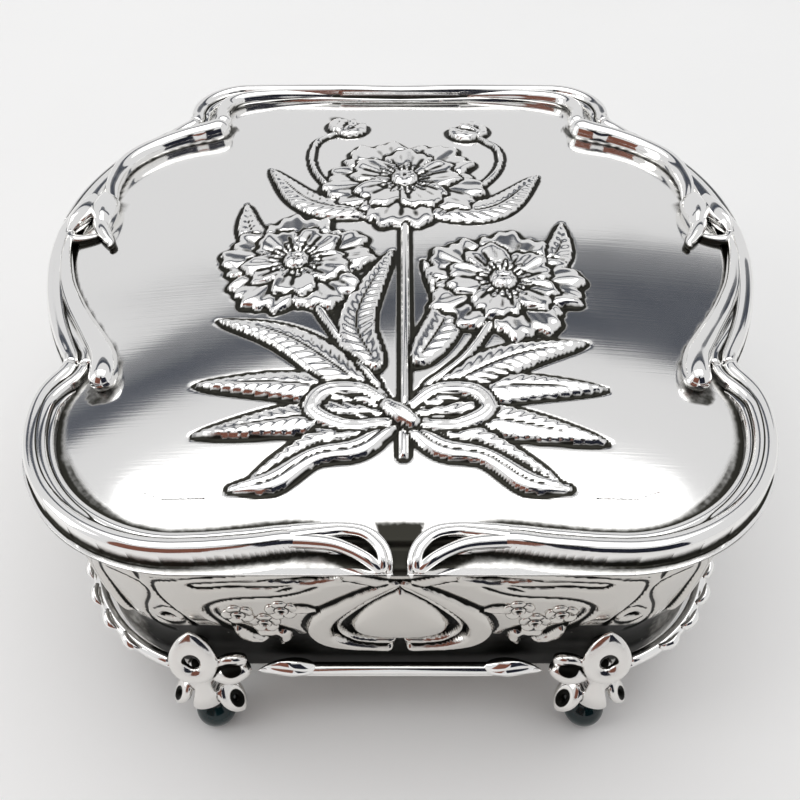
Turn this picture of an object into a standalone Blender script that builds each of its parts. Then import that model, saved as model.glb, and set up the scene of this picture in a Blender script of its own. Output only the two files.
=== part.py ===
"""A small lobed jewellery casket in polished silver plate, with a hinged lid.

Units are metres, +Z is up, the front faces -Y. The origin lies on the table, under the
middle of the whole object. Every lobed piece follows one plan outline, set in from it by
its own distance, so the lid, wall, mouldings and lining stay parallel to each other.
"""
import math

import bmesh
import bpy
from mathutils import Matrix, Vector

# Plan outline of the lid, seen from above: its driving sizes
HALF_WIDTH = 0.0735         # middle of the long sides, the widest place
DEPTH = 0.1450              # front edge to back edge
LOBE_HALF_WIDTH = 0.0645    # front lobes
LOBE_FRONT_R = 0.031        # round of a lobe from the front edge to its widest place
LOBE_BACK_R = 0.019         # tighter round from there to the notch
CORNER_HALF_WIDTH = 0.053   # back corners
CORNER_R = 0.014
SIDE_FROM_FRONT = 0.086     # widest place of the sides, behind the front edge
SIDE_FRONT_R = 0.085        # long round from the front notch to the widest place
SIDE_MEETS_CORNER = 0.00365 # where the back round of a side is level with the corner's centre,
                            # this far inside the corner's widest place
NOTCH_R = 0.003             # hollow round at the bottom of each notch

# Heights above the table
BALL_R = 0.004
WALL_BOTTOM = 0.0208
WALL_TOP = 0.058
FLANGE_HEIGHT = 0.0027      # the lid's turned-down edge
FLANGE_INSET = 0.0002       # its face, in from the plan outline
FIELD_STEP = 0.0008         # from the shoulder under the mouldings up to the lid's field
STEP_RUN = 0.0008           # how far that step slopes inwards
DOME_RISE = 0.0046
DOME_POWER = 2.2            # a pillow that falls away faster towards its edge
NOTCH_BLUR = 24.0           # degrees over which the pillow passes the notches by
LEDGE_WIDTH = 0.0018        # ledge under the lid that the lining's card lies against
LEDGE_THICK = 0.0006
GAP = 0.0003                # air between pieces that touch

# Casting and sheet thicknesses
WALL_INSET = 0.0026         # wall's top edge, in from the plan outline
WALL_DRAW = 0.0016          # how far the wall draws in to its lower third
HOLLOW_INSET = 0.0053       # deep hollow under the ornament, in from the plan outline
CAVETTO_INSET = 0.0048      # foot of the wall, which carries the rails
INNER_INSET = 0.0064        # inner face of the wall
LIP_WIDTH = 0.0020          # inner lip that carries the bottom plate
LIP_THICK = 0.0014
SHEET = 0.0014              # bottom plate and lid sheet
CARD = 0.0009               # lining card
VELVET = 0.0016             # velvet over card on the walls
PAD_THICK = 0.0036          # floor pad
LID_PAD_THICK = 0.0026
LINING_TOP_DROP = 0.0030    # top of the wall lining, below the wall's top
PAD_CROWN = 0.0036          # how far a pad's crown draws in from its edge
PAD_EDGE = 0.0006           # how far its lower edge draws in

# Mouldings
RIM_R = 0.0020              # main roll round the lid
RIM_INSET = 0.0025          # its centre line, in from the plan outline
RAIL_R = 0.0015             # roll round the foot of the wall
RAIL_RISE = 0.0018          # its centre line, above the wall's bottom
ROLL_R = 0.0027             # fat inner roll at the front notches
WHIP_R = 0.0026             # roll that runs from the bud to the back notch
BUD_LENGTH = 0.0125
BUD_R = 0.0034
BUD_HEIGHT = 0.0024         # half its height, which is less than its half width
CURL_GAP = 0.0016           # half the slot between the two front curls

# Feet
FOOT_X = 0.037
FOOT_IN = 0.0040            # ball's centre, behind the outline's front or back edge
BALL_FLAT_R = 0.0012
CUP_WALL = 0.0005           # metal round the top of the ball
FOOT_TOP_R = 0.0050
NECK_R = 0.0026
PETAL_R = (0.0026, 0.0016, 0.0038)        # half width, half thickness and half height
SIDE_PETAL_R = (0.0019, 0.0023, 0.0031)
PETAL_LEAN = -14.0          # degrees, how far the front petal's foot kicks out
SHIN_R = (0.0026, 0.0018, 0.0052)
STALK_R = (0.0046, 0.0019, 0.0018)
KNEE_REACH = 0.0018         # furthest point of a knee leaf, in front of the plan outline
KNEE_HALF_WIDTH = 0.0045
KNEE_HALF_HEIGHT = 0.0057
KNEE_HALF_THICK = 0.0010
KNEE_TILT = 20.0            # degrees, how far the knee leaf leans back to the wall
KNEE_RISE = 0.0107          # centre of the leaf, above the wall's bottom
BUD_CURL_R = 0.0038         # half width of the curled bud beside the knee
BUD_CURL_X = 0.0072

# Hinge
BARREL_R = 0.0020
PIN_R = 0.0008
PIN_CLEARANCE = 0.0003
KNUCKLE_COUNT = 5
KNUCKLE_LENGTH = 0.0080
LEAF_THICK = 0.0010
LEAF_DROP = 0.0070          # how far the body's leaf reaches down the wall
LEAF_LIFT = 0.0036          # how far the lid's leaf reaches up its edge, from the pin
PIN_HEAD_R = 0.0015
PIN_HEAD_LENGTH = 0.0009

# Ornament, in millimetres on flat sheets. On the lid it is measured from the middle, +Y to
# the back; on a wall along its foot from the middle of that wall, and up from the table.
MM = 0.001
FLOWERS = (
    # centre, size and bearing of the first bay between its petals
    ((1.0, 24.0), 17.5, 84.0),
    ((-20.5, -5.0), 15.0, 128.0),
    ((20.0, -11.0), 15.5, 38.0),
)
FLOWER_PROFILE = ((1.0, -0.7), (0.93, 1.3), (0.78, 1.7), (0.42, 1.0), (0.16, 2.1))
PETALS = 5
PETAL_STEPS = 3
PETAL_BAY = 0.24            # depth of the bays between petals, as a share of the flower
BLADES = (
    # root, bend and tip, half width
    ((-2.2, -43.6), (-16.0, -38.0), (-36.0, -37.0), 3.3),
    ((2.2, -43.6), (16.0, -38.5), (36.0, -38.0), 3.3),
    ((-2.4, -44.4), (-15.0, -44.5), (-34.5, -48.0), 3.3),
    ((2.4, -44.4), (15.0, -45.0), (34.5, -49.5), 3.3),
    ((-2.0, -45.0), (-11.0, -48.5), (-24.5, -57.0), 3.0),
    ((2.0, -45.0), (11.0, -48.8), (25.5, -57.0), 3.0),
    ((-1.8, -42.6), (-19.5, -27.0), (-34.0, -21.0), 3.7),
    ((1.8, -42.6), (18.5, -32.0), (34.0, -27.0), 3.7),
    ((-19.0, -12.0), (-30.0, 4.0), (-33.0, 16.0), 3.7),
    ((18.5, -14.0), (31.0, -2.5), (34.0, 9.0), 3.7),
    ((-5.0, 11.0), (-19.0, 15.5), (-29.5, 30.0), 3.5),
    ((6.0, 11.0), (20.0, 13.5), (31.0, 27.0), 3.5),
    ((3.0, -33.0), (9.0, -18.5), (4.5, -4.5), 3.4),
    ((-4.0, -34.0), (-8.0, -21.5), (-1.5, -1.5), 3.3),
)
STEMS = (
    ((0.6, -52.0), (1.0, -20.0), (1.0, 10.0)),
    ((-4.0, -37.5), (-11.5, -25.5), (-18.0, -13.0)),
    ((5.0, -37.5), (12.0, -30.5), (18.5, -19.0)),
    ((-6.0, 9.0), (-18.5, 27.0), (-20.0, 41.0), (-15.0, 47.0)),
    ((9.0, 11.0), (21.0, 27.0), (23.0, 38.0), (18.5, 44.5)),
)
STEM_HALF_WIDTH = 0.75
BUDS = (((-15.4, 46.5), (-12.5, 49.5), (-8.5, 52.0)), ((18.9, 44.0), (16.0, 47.0), (12.0, 49.0)))
BUD_HALF_WIDTH = 2.6
BOW_TIE = (0.0, -44.0)
BOW_LOOP = ((1.6, 1.5, 0.9), (6.5, 5.2, 1.3), (13.0, 4.8, 1.6), (14.8, 0.6, 1.6), (9.0, -2.4, 1.3),
            (2.0, -1.6, 0.9))
BOW_TAIL = ((0.6, -0.9, 1.3), (6.5, -6.4, 1.9), (14.0, -8.2, 1.7), (20.5, -13.0, 2.0), (27.0, -14.2, 0.6))
LINE_RISE = 1.0             # stems and ribbons over the field
BLADE_RISE = 1.1
FORM_SINK = 0.7             # how far a form reaches under the surface it stands on

BAND = ((0.9, 52.4, 0.8), (5.4, 47.8, 1.2), (9.4, 43.4, 1.6), (12.6, 38.8, 2.1), (11.2, 34.4, 2.0),
        (7.0, 31.4, 1.7), (1.0, 30.6, 1.7))
DROP = ((0.0, 49.3), (2.9, 46.0), (6.2, 41.8), (8.1, 38.2), (7.3, 35.6), (4.2, 34.1), (0.0, 33.7))
DROP_CENTRE = 39.5          # height of the drop's middle above the table
DROP_PROFILE = ((1.0, -0.6), (1.0, 1.7), (0.86, 2.2), (0.3, 2.3))
BAND_RISE = 2.5             # over the hollow
WALL_SINK = 0.6
SIDE_SCALE = 0.86           # the ornament of a side beside that of the front
UPPER_SLIT = ((9.0, 54.3, 0.2), (14.5, 54.7, 0.8), (20.5, 54.9, 0.2))
LOWER_SLIT = ((12.5, 52.0, 0.2), (23.0, 52.2, 0.8), (33.0, 51.6, 0.9))
SLIT_FLOOR = 1.2            # over the hollow
SLIT_MOUTH = 4.0
BLOSSOMS = ((14.9, 44.2), (22.3, 44.0), (18.5, 39.6), (25.4, 39.3), (28.3, 43.2))
BLOSSOM_R = 2.5
BLOSSOM_PROFILE = ((1.0, 0.3), (0.85, 2.3), (0.3, 2.1))
LEAVES = (((13.5, 36.6, 0.4), (16.6, 35.2, 1.3), (20.0, 36.2, 0.4)),
          ((20.5, 36.0, 0.4), (23.6, 34.7, 1.3), (27.2, 35.8, 0.4)))

# Worked out from the sizes above
HINGE_REACH = GAP + 2 * BARREL_R
FRONT_Y = KNEE_REACH - (DEPTH + HINGE_REACH + KNEE_REACH) / 2
BACK_Y = FRONT_Y + DEPTH
MIDDLE_Y = (FRONT_Y + BACK_Y) / 2
SIDE_Y = FRONT_Y + SIDE_FROM_FRONT
SEAM_Z = WALL_TOP + GAP
SHOULDER_Z = SEAM_Z + FLANGE_HEIGHT
FIELD_Z = SHOULDER_Z + FIELD_STEP
UNDER_Z = FIELD_Z - SHEET
LEDGE_Z = UNDER_Z - LEDGE_THICK
LEDGE_INSET = INNER_INSET + LEDGE_WIDTH
STEP_INSET = RIM_INSET + RIM_R + GAP
RIM_Z = SHOULDER_Z + GAP + RIM_R
PLATE_Z = WALL_BOTTOM + LIP_THICK + GAP
PLATE_TOP = PLATE_Z + SHEET
PLATE_INSET = INNER_INSET + GAP
LINING_INSET = INNER_INSET + GAP
LINING_Z = PLATE_TOP + GAP
LINING_TOP = WALL_TOP - LINING_TOP_DROP
FLOOR_INSET = LINING_INSET + VELVET + GAP
HINGE_Y = BACK_Y + GAP + BARREL_R
HINGE_Z = WALL_TOP + GAP / 2
HINGE_HALF = KNUCKLE_COUNT * KNUCKLE_LENGTH / 2

FACETS = 16


# Scene, collections and materials

for old in list(bpy.data.objects):
    bpy.data.objects.remove(old, do_unlink=True)

parts = bpy.data.collections.new("trinket_box")
tools = bpy.data.collections.new("cutters")
bpy.context.scene.collection.children.link(parts)
bpy.context.scene.collection.children.link(tools)


def material(name, colour, roughness, metallic):
    """A Principled material with one colour."""
    made = bpy.data.materials.new(name)
    made.use_nodes = True
    shader = made.node_tree.nodes["Principled BSDF"]
    shader.inputs["Base Color"].default_value = (*colour, 1.0)
    shader.inputs["Roughness"].default_value = roughness
    shader.inputs["Metallic"].default_value = metallic
    return made


SILVER = material("polished_silver", (0.86, 0.85, 0.83), 0.12, 1.0)
OLD_SILVER = material("plain_silver", (0.62, 0.61, 0.58), 0.30, 1.0)
ONYX = material("dark_ball", (0.012, 0.020, 0.020), 0.10, 0.0)
VELVET_RED = material("velvet", (0.20, 0.015, 0.035), 0.95, 0.0)
GREY_CARD = material("lining_card", (0.35, 0.32, 0.28), 0.90, 0.0)


# The plan outline: stations with a place and an outward direction

def arc(centre, radius, start, end, steps, hollow=False):
    """Stations along an arc; a hollow arc has its centre outside the outline."""
    turn = -1.0 if hollow else 1.0
    stations = []
    for i in range(steps + 1):
        angle = math.radians(start + (end - start) * i / steps)
        out = Vector((math.cos(angle), math.sin(angle)))
        stations.append((Vector(centre) + out * radius, out * turn))
    return stations


def touching_centre(centre_a, radius_a, centre_b, radius_b, radius):
    """Centre of a circle outside two others that touches both, on the +X side."""
    a, b = Vector(centre_a), Vector(centre_b)
    reach_a, reach_b = radius_a + radius, radius_b + radius
    span = (b - a).length
    along = (reach_a ** 2 - reach_b ** 2 + span ** 2) / (2 * span)
    across = math.sqrt(reach_a ** 2 - along ** 2)
    direction = (b - a).normalized()
    square = Vector((direction.y, -direction.x))
    choices = [a + direction * along + square * across * s for s in (1, -1)]
    return max(choices, key=lambda point: point.x)


def bearing(origin, target):
    """Direction from one point to another, in degrees."""
    step = Vector(target) - Vector(origin)
    return math.degrees(math.atan2(step.y, step.x))


def notch(lower_centre, lower_r, upper_centre, upper_r):
    """The hollow round between two arcs: its centre and the four bearings it needs."""
    centre = touching_centre(lower_centre, lower_r, upper_centre, upper_r, NOTCH_R)
    to_lower = bearing(centre, lower_centre) % 360
    to_upper = bearing(centre, upper_centre) % 360
    return centre, to_lower, to_upper, bearing(lower_centre, centre), bearing(upper_centre, centre)


corner = (CORNER_HALF_WIDTH - CORNER_R, BACK_Y - CORNER_R)
run = corner[1] - SIDE_Y
fall = HALF_WIDTH - (CORNER_HALF_WIDTH - SIDE_MEETS_CORNER)
side_back_r = (run ** 2 + fall ** 2) / (2 * fall)
lobe_front = (LOBE_HALF_WIDTH - LOBE_FRONT_R, FRONT_Y + LOBE_FRONT_R)
lobe_back = (LOBE_HALF_WIDTH - LOBE_BACK_R, FRONT_Y + LOBE_FRONT_R)
side_front = (HALF_WIDTH - SIDE_FRONT_R, SIDE_Y)
side_back = (HALF_WIDTH - side_back_r, SIDE_Y)
front_notch = notch(lobe_back, LOBE_BACK_R, side_front, SIDE_FRONT_R)
back_notch = notch(corner, CORNER_R, side_back, side_back_r)

pieces_of_outline = [
    ("front_centre", [(Vector((0, FRONT_Y)), Vector((0, -1)))]),
    ("lobe", arc(lobe_front, LOBE_FRONT_R, -90, 0, 6)),
    ("shoulder", arc(lobe_back, LOBE_BACK_R, 0, front_notch[3], 3)[1:]),
    ("front_notch", arc(front_notch[0], NOTCH_R, front_notch[1], front_notch[2], 4, True)[1:]),
    ("side_front", arc(side_front, SIDE_FRONT_R, front_notch[4], 0, 4)[1:]),
    ("side_back", arc(side_back, side_back_r, 0, back_notch[4], 5)[1:]),
    ("back_notch", arc(back_notch[0], NOTCH_R, back_notch[2], back_notch[1], 4, True)[1:]),
    ("corner", arc(corner, CORNER_R, back_notch[3], 90, 5)[1:]),
    ("back_centre", [(Vector((0, BACK_Y)), Vector((0, 1)))]),
]
half = []
mark = {}
for label, stations in pieces_of_outline:
    half += stations
    mark[label] = len(half) - 1
mark["front_notch"] -= 2
mark["back_notch"] -= 2
LAST = len(half) - 1


def flipped(station):
    """The same station on the left side."""
    place, out = station
    return Vector((-place.x, place.y)), Vector((-out.x, out.y))


whole = half + [flipped(station) for station in reversed(half[1:-1])]
travelled = [0.0]
for before, after in zip(half, half[1:]):
    travelled.append(travelled[-1] + (after[0] - before[0]).length)


def at(position, inset, side=1):
    """Plan point at a station number, which may be a fraction, set in from the outline."""
    low = min(int(position), LAST - 1)
    share = position - low
    place = half[low][0].lerp(half[low + 1][0], share)
    out = half[low][1].lerp(half[low + 1][1], share).normalized()
    point = place - out * inset
    return Vector((side * point.x, point.y))


def along(travel, inset):
    """Plan point at a distance along the outline from the middle of the front, negative to the left."""
    total = travelled[-1]
    travel = (travel + total) % (2 * total) - total
    far = abs(travel)
    low = next(i for i in range(LAST) if travelled[i + 1] >= far)
    share = (far - travelled[low]) / (travelled[low + 1] - travelled[low])
    return at(low + share, inset, 1 if travel >= 0 else -1)


def ring(inset, z):
    """The whole outline set in by a distance, at a height."""
    return [Vector((*(place - out * inset), z)) for place, out in whole]


def pillowed(inset, scale, z):
    """The outline set in, drawn towards its middle and raised by the pillow."""
    middle = Vector((0, MIDDLE_Y, 0))
    plan = [middle + (p - middle) * scale for p in ring(inset, 0)]
    return [Vector((p.x, p.y, z + pillow(p.x, p.y))) for p in plan]


# Makers of solids

def finish(obj, paint, flat=30):
    """Give an object its material and its shading, and file it with the parts."""
    obj.data.materials.clear()
    obj.data.materials.append(paint)
    obj.data.shade_smooth()
    obj.data.set_sharp_from_angle(angle=math.radians(flat))
    for home in list(obj.users_collection):
        home.objects.unlink(obj)
    parts.objects.link(obj)
    return obj


def loft(name, rings, paint, closed=False):
    """A skin over rings of equal count; closed joins the last ring to the first."""
    mesh = bpy.data.meshes.new(name)
    bm = bmesh.new()
    rows = [[bm.verts.new(point) for point in one] for one in rings]
    count = len(rows[0])
    pairs = list(zip(rows, rows[1:]))
    if closed:
        pairs.append((rows[-1], rows[0]))
    else:
        bm.faces.new(rows[0])
        bm.faces.new(rows[-1])
    for low, high in pairs:
        for i in range(count):
            j = (i + 1) % count
            bm.faces.new((low[i], low[j], high[j], high[i]))
    bmesh.ops.recalc_face_normals(bm, faces=bm.faces)
    bm.to_mesh(mesh)
    bm.free()
    obj = bpy.data.objects.new(name, mesh)
    return finish(obj, paint)


def band(name, section, paint):
    """A closed section of (inset, height) points carried round the whole outline."""
    sections = []
    for place, out in whole:
        sections.append([Vector((*(place - out * inset), z)) for inset, z in section])
    return loft(name, sections, paint, closed=True)


def tube(name, points, radii, paint, sides=8):
    """A round bar through points, with its own radius at each."""
    curve = bpy.data.curves.new(name, "CURVE")
    curve.dimensions = "3D"
    curve.bevel_depth = 1.0
    curve.bevel_resolution = (sides - 4) // 2
    curve.use_fill_caps = True
    spline = curve.splines.new("POLY")
    spline.points.add(len(points) - 1)
    for target, point, radius in zip(spline.points, points, radii):
        target.co = (*point, 1.0)
        target.radius = radius
    guide = bpy.data.objects.new(name, curve)
    parts.objects.link(guide)
    mesh = bpy.data.meshes.new_from_object(guide.evaluated_get(bpy.context.evaluated_depsgraph_get()))
    bpy.data.objects.remove(guide, do_unlink=True)
    bpy.data.curves.remove(curve)
    bm = bmesh.new()
    bm.from_mesh(mesh)
    bmesh.ops.remove_doubles(bm, verts=bm.verts, dist=1e-6)
    bmesh.ops.recalc_face_normals(bm, faces=bm.faces)
    bm.to_mesh(mesh)
    bm.free()
    obj = bpy.data.objects.new(name, mesh)
    return finish(obj, paint, flat=50)


def smooth(points, steps):
    """Points on a Catmull-Rom curve through tuples of any length."""
    rows = [Vector(p) for p in points]
    rows = [rows[0] * 2 - rows[1]] + rows + [rows[-1] * 2 - rows[-2]]
    out = []
    for a, b, c, d in zip(rows, rows[1:], rows[2:], rows[3:]):
        for i in range(steps):
            t = i / steps
            out.append((b * 2 + (c - a) * t + (a * 2 - b * 5 + c * 4 - d) * t * t
                        + (b * 3 - a - c * 3 + d) * t ** 3) / 2)
    return out + [rows[-2]]


def rounded_ends(points, radii, start=True, end=True, steps=3):
    """Close a bar's ends with domes that keep inside its length."""
    points, radii = list(points), list(radii)

    def dome(points, radii):
        inward = (points[1] - points[0]).normalized()
        tip, size = points[0], radii[0]
        new_points, new_radii = [], []
        for i in range(steps):
            angle = math.pi / 2 * (i + 0.35) / steps
            new_points.append(tip + inward * size * (1 - math.cos(angle)))
            new_radii.append(size * math.sin(angle))
        keep = [i for i, p in enumerate(points) if (p - tip).length > size]
        return new_points + [points[i] for i in keep], new_radii + [radii[i] for i in keep]

    if start:
        points, radii = dome(points, radii)
    if end:
        points, radii = dome(points[::-1], radii[::-1])
        points, radii = points[::-1], radii[::-1]
    return points, radii


def turned(name, profile, paint, steps=FACETS, keep=True):
    """A profile of (radius, height) points, top to bottom, turned about Z."""
    mesh = bpy.data.meshes.new(name)
    mesh.from_pydata([(r, 0, z) for r, z in profile], [(i, i + 1) for i in range(len(profile) - 1)], [])
    obj = bpy.data.objects.new(name, mesh)
    screw = obj.modifiers.new("turn", "SCREW")
    screw.axis = "Z"
    screw.angle = math.tau
    screw.steps = steps
    screw.render_steps = steps
    screw.use_merge_vertices = True
    screw.merge_threshold = 1e-6
    tools.objects.link(obj)
    baked = bake(obj)
    if keep:
        return finish(baked, paint)
    return baked


def bake(obj):
    """Replace an object by a plain mesh of what it evaluates to."""
    bpy.context.view_layer.update()
    mesh = bpy.data.meshes.new_from_object(obj.evaluated_get(bpy.context.evaluated_depsgraph_get()))
    mesh.transform(obj.matrix_world)
    name = obj.name
    for tool in [m.object for m in obj.modifiers if m.type == "BOOLEAN"]:
        bpy.data.objects.remove(tool, do_unlink=True)
    bpy.data.objects.remove(obj, do_unlink=True)
    made = bpy.data.objects.new(name, mesh)
    tools.objects.link(made)
    return made


def combine(base, others, operation="UNION"):
    """Join solids to a base, or cut them from it, and return the plain result."""
    for other in others:
        other.hide_render = True
        other.display_type = "WIRE"
        step = base.modifiers.new("join", "BOOLEAN")
        step.operation = operation
        step.solver = "EXACT"
        step.object = other
    return bake(base)


def block(name, low, high):
    """A box between two corners."""
    low, high = Vector(low), Vector(high)
    mesh = bpy.data.meshes.new(name)
    bm = bmesh.new()
    bmesh.ops.create_cube(bm, size=1.0)
    bmesh.ops.scale(bm, vec=high - low, verts=bm.verts)
    bmesh.ops.translate(bm, vec=(low + high) / 2, verts=bm.verts)
    bm.to_mesh(mesh)
    bm.free()
    obj = bpy.data.objects.new(name, mesh)
    tools.objects.link(obj)
    return obj


def rod_x(name, x_low, x_high, y, z, radius, sides=FACETS):
    """A cylinder along X."""
    mesh = bpy.data.meshes.new(name)
    bm = bmesh.new()
    bmesh.ops.create_cone(bm, cap_ends=True, segments=sides, radius1=radius, radius2=radius,
                          depth=x_high - x_low)
    bm.transform(Matrix.Translation(((x_low + x_high) / 2, y, z)) @ Matrix.Rotation(math.pi / 2, 4, "Y"))
    bm.to_mesh(mesh)
    bm.free()
    obj = bpy.data.objects.new(name, mesh)
    tools.objects.link(obj)
    return obj


def egg(name, centre, radii, tilt=0.0, segments=8, rings=5):
    """A stretched sphere, leaning about X by some degrees."""
    mesh = bpy.data.meshes.new(name)
    bm = bmesh.new()
    bmesh.ops.create_uvsphere(bm, u_segments=segments, v_segments=rings, radius=1.0)
    lean = Matrix.Rotation(math.radians(tilt), 4, "X")
    bm.transform(Matrix.Translation(centre) @ lean @ Matrix.Diagonal((*radii, 1.0)))
    bm.to_mesh(mesh)
    bm.free()
    obj = bpy.data.objects.new(name, mesh)
    tools.objects.link(obj)
    return obj


# Ornament on a surface: place(u, v, lift) gives a point over its sheet, in metres

def ridge(name, controls, place, rise, sink, crown=0.6, steps=1):
    """A bar through (u, v, half width) controls, whose sides slope from a foot to its crown."""
    rows = smooth(controls, steps)
    widest = max(row[2] for row in rows)
    sections = []
    for i, row in enumerate(rows):
        before, after = rows[max(i - 1, 0)], rows[min(i + 1, len(rows) - 1)]
        ahead = Vector((after[0] - before[0], after[1] - before[1])).normalized()
        square = Vector((-ahead.y, ahead.x)) * row[2]
        top = rise * (0.4 + 0.6 * row[2] / widest)
        section = []
        for share, lift in ((-1, -sink), (-crown, top), (crown, top), (1, -sink)):
            u, v = row[0] + square.x * share, row[1] + square.y * share
            section.append(place(u * MM, v * MM, lift * MM))
        sections.append(section)
    return loft(name, sections, SILVER)


def mound(name, outline, centre, place, profile):
    """A form over a closed outline; profile has its shares of the way out and their lifts."""
    rings = []
    for share, lift in profile:
        spots = [[c + (p - c) * share for p, c in zip(point, centre)] for point in outline]
        rings.append([place(u * MM, v * MM, lift * MM) for u, v in spots])
    return loft(name, rings, SILVER)


def lobed(centre, size, bearing_of_bay, lobes, steps):
    """The outline of a flower: one broad lobe for each petal, with a bay after it."""
    points = []
    for i in range(lobes * steps):
        angle = math.tau * i / (lobes * steps)
        bay = (1 + math.cos(lobes * angle)) / 2
        reach = size * (1 - PETAL_BAY * bay)
        turn = angle + math.radians(bearing_of_bay)
        points.append((centre[0] + reach * math.cos(turn), centre[1] + reach * math.sin(turn)))
    return points


# Body: wall, bottom plate and the roll round its foot

def body_shell():
    """One cast wall, drawn in at half height, with a lip inside its foot."""
    height = WALL_TOP - WALL_BOTTOM
    shoulder = WALL_INSET + WALL_DRAW
    section = [
        (WALL_INSET, WALL_TOP),
        (WALL_INSET + WALL_DRAW * 0.45, WALL_TOP - height * 0.16),
        (WALL_INSET + WALL_DRAW * 0.80, WALL_TOP - height * 0.40),
        (shoulder, WALL_TOP - height * 0.565),
        (shoulder + (HOLLOW_INSET - shoulder) * 0.3, WALL_TOP - height * 0.63),
        (shoulder + (HOLLOW_INSET - shoulder) * 0.8, WALL_TOP - height * 0.70),
        (HOLLOW_INSET, WALL_TOP - height * 0.77),
        (CAVETTO_INSET, WALL_TOP - height * 0.87),
        (CAVETTO_INSET, WALL_BOTTOM),
        (INNER_INSET + LIP_WIDTH, WALL_BOTTOM),
        (INNER_INSET + LIP_WIDTH, WALL_BOTTOM + LIP_THICK),
        (INNER_INSET, WALL_BOTTOM + LIP_THICK),
        (INNER_INSET, WALL_TOP),
    ]
    wall = band("body_shell", section, SILVER)
    raised, cut = [], []
    middle = (travelled[mark["front_notch"]] + travelled[mark["back_notch"]]) / 2
    for centre, scale in ((0.0, 1.0), (travelled[-1], 1.0), (middle, SIDE_SCALE), (-middle, SIDE_SCALE)):
        raised += bands_and_drop(centre, scale)
    for side in (1, -1):
        raised += blossoms(side)
        cut += slits(side)
    wall = combine(combine(wall, raised), cut, "DIFFERENCE")
    finish(wall, SILVER)


def on_wall(centre, side=1, scale=1.0):
    """Where points of a wall's sheet lie in space, measured from a place along its foot."""
    def place(u, v, lift):
        return Vector((*along(centre + side * u * scale, HOLLOW_INSET - lift), v))

    return place


def bands_and_drop(centre, scale):
    """A drop between two broad bands whose feet turn in below it."""
    outline = list(DROP) + [(-u, v) for u, v in reversed(DROP[1:-1])]
    forms = [mound("drop", outline, (0.0, DROP_CENTRE), on_wall(centre, 1, scale), DROP_PROFILE)]
    for side in (1, -1):
        forms.append(ridge("band", BAND, on_wall(centre, side, scale), BAND_RISE, WALL_SINK))
    return forms


def blossoms(side):
    """Blossoms over two leaves, beside the drop of the front."""
    forms = []
    for number, spot in enumerate(BLOSSOMS):
        petals = lobed(spot, BLOSSOM_R, 20.0 * number, PETALS, 1)
        forms.append(mound("blossom", petals, spot, on_wall(0.0, side), BLOSSOM_PROFILE))
    for leaf in LEAVES:
        forms.append(ridge("leaf", leaf, on_wall(0.0, side), BAND_RISE * 0.8, WALL_SINK, crown=0.35))
    return forms


def slits(side):
    """Cutters for two long slits under the rim of the front."""
    floor = (SLIT_FLOOR, -SLIT_MOUTH)
    return [ridge("slit", slit, on_wall(0.0, side), *floor, crown=0.7) for slit in (UPPER_SLIT, LOWER_SLIT)]


def base_plate():
    """A flat sheet that lies on the lip."""
    loft("base_plate", [ring(PLATE_INSET, PLATE_Z), ring(PLATE_INSET, PLATE_TOP)], OLD_SILVER)


def base_rails():
    """Round bars laid in the cavetto, between the feet."""
    inset = CAVETTO_INSET - GAP - RAIL_R
    z = WALL_BOTTOM + RAIL_RISE
    stop = FOOT_X - BUD_CURL_X - BUD_CURL_R - GAP
    clear = FOOT_X + KNEE_HALF_WIDTH + 2 * GAP

    def bar(name, plan):
        points = [Vector((*point, z)) for point in plan]
        points, radii = rounded_ends(points, [RAIL_R] * len(points), steps=2)
        tube(name, points, radii, SILVER)

    for name, y in (("front", FRONT_Y + inset), ("back", BACK_Y - inset)):
        bar("base_rail_" + name, [Vector((x * stop, y)) for x in (-1, -0.5, 0, 0.5, 1)])
    for name, side in (("right", 1), ("left", -1)):
        plan = [at(n, inset, side) for n in range(1, LAST)]
        bar("base_rail_" + name, [p for p in plan if abs(p.x) > clear])


# Feet: a turned neck and calyx, a knee leaf, a curled bud and three petals round a ball

def knee_leaf():
    """A leaf with one point, extruded and leaned back towards the wall."""
    curve = bpy.data.curves.new("knee", "CURVE")
    curve.dimensions = "2D"
    curve.fill_mode = "BOTH"
    curve.extrude = KNEE_HALF_THICK
    spline = curve.splines.new("POLY")
    count = 14
    spline.points.add(count - 1)
    for i in range(count):
        t = math.tau * i / count
        x = KNEE_HALF_WIDTH * math.sin(t) * math.sin(t / 2) ** 0.6
        spline.points[i].co = (x, KNEE_HALF_HEIGHT * math.cos(t), 0, 1)
    spline.use_cyclic_u = True
    guide = bpy.data.objects.new("knee", curve)
    tools.objects.link(guide)
    upright = Matrix.Rotation(math.radians(90 - KNEE_TILT), 4, "X")
    thick = KNEE_HALF_THICK * math.cos(math.radians(KNEE_TILT))
    reach = KNEE_HALF_HEIGHT * math.sin(math.radians(KNEE_TILT)) + thick
    y = reach - KNEE_REACH - FOOT_IN
    guide.matrix_world = Matrix.Translation((0, y, WALL_BOTTOM + KNEE_RISE)) @ upright
    leaf = bake(guide)
    bm = bmesh.new()
    bm.from_mesh(leaf.data)
    bmesh.ops.remove_doubles(bm, verts=bm.verts, dist=1e-6)
    bmesh.ops.recalc_face_normals(bm, faces=bm.faces)
    bm.to_mesh(leaf.data)
    bm.free()
    return leaf


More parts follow.
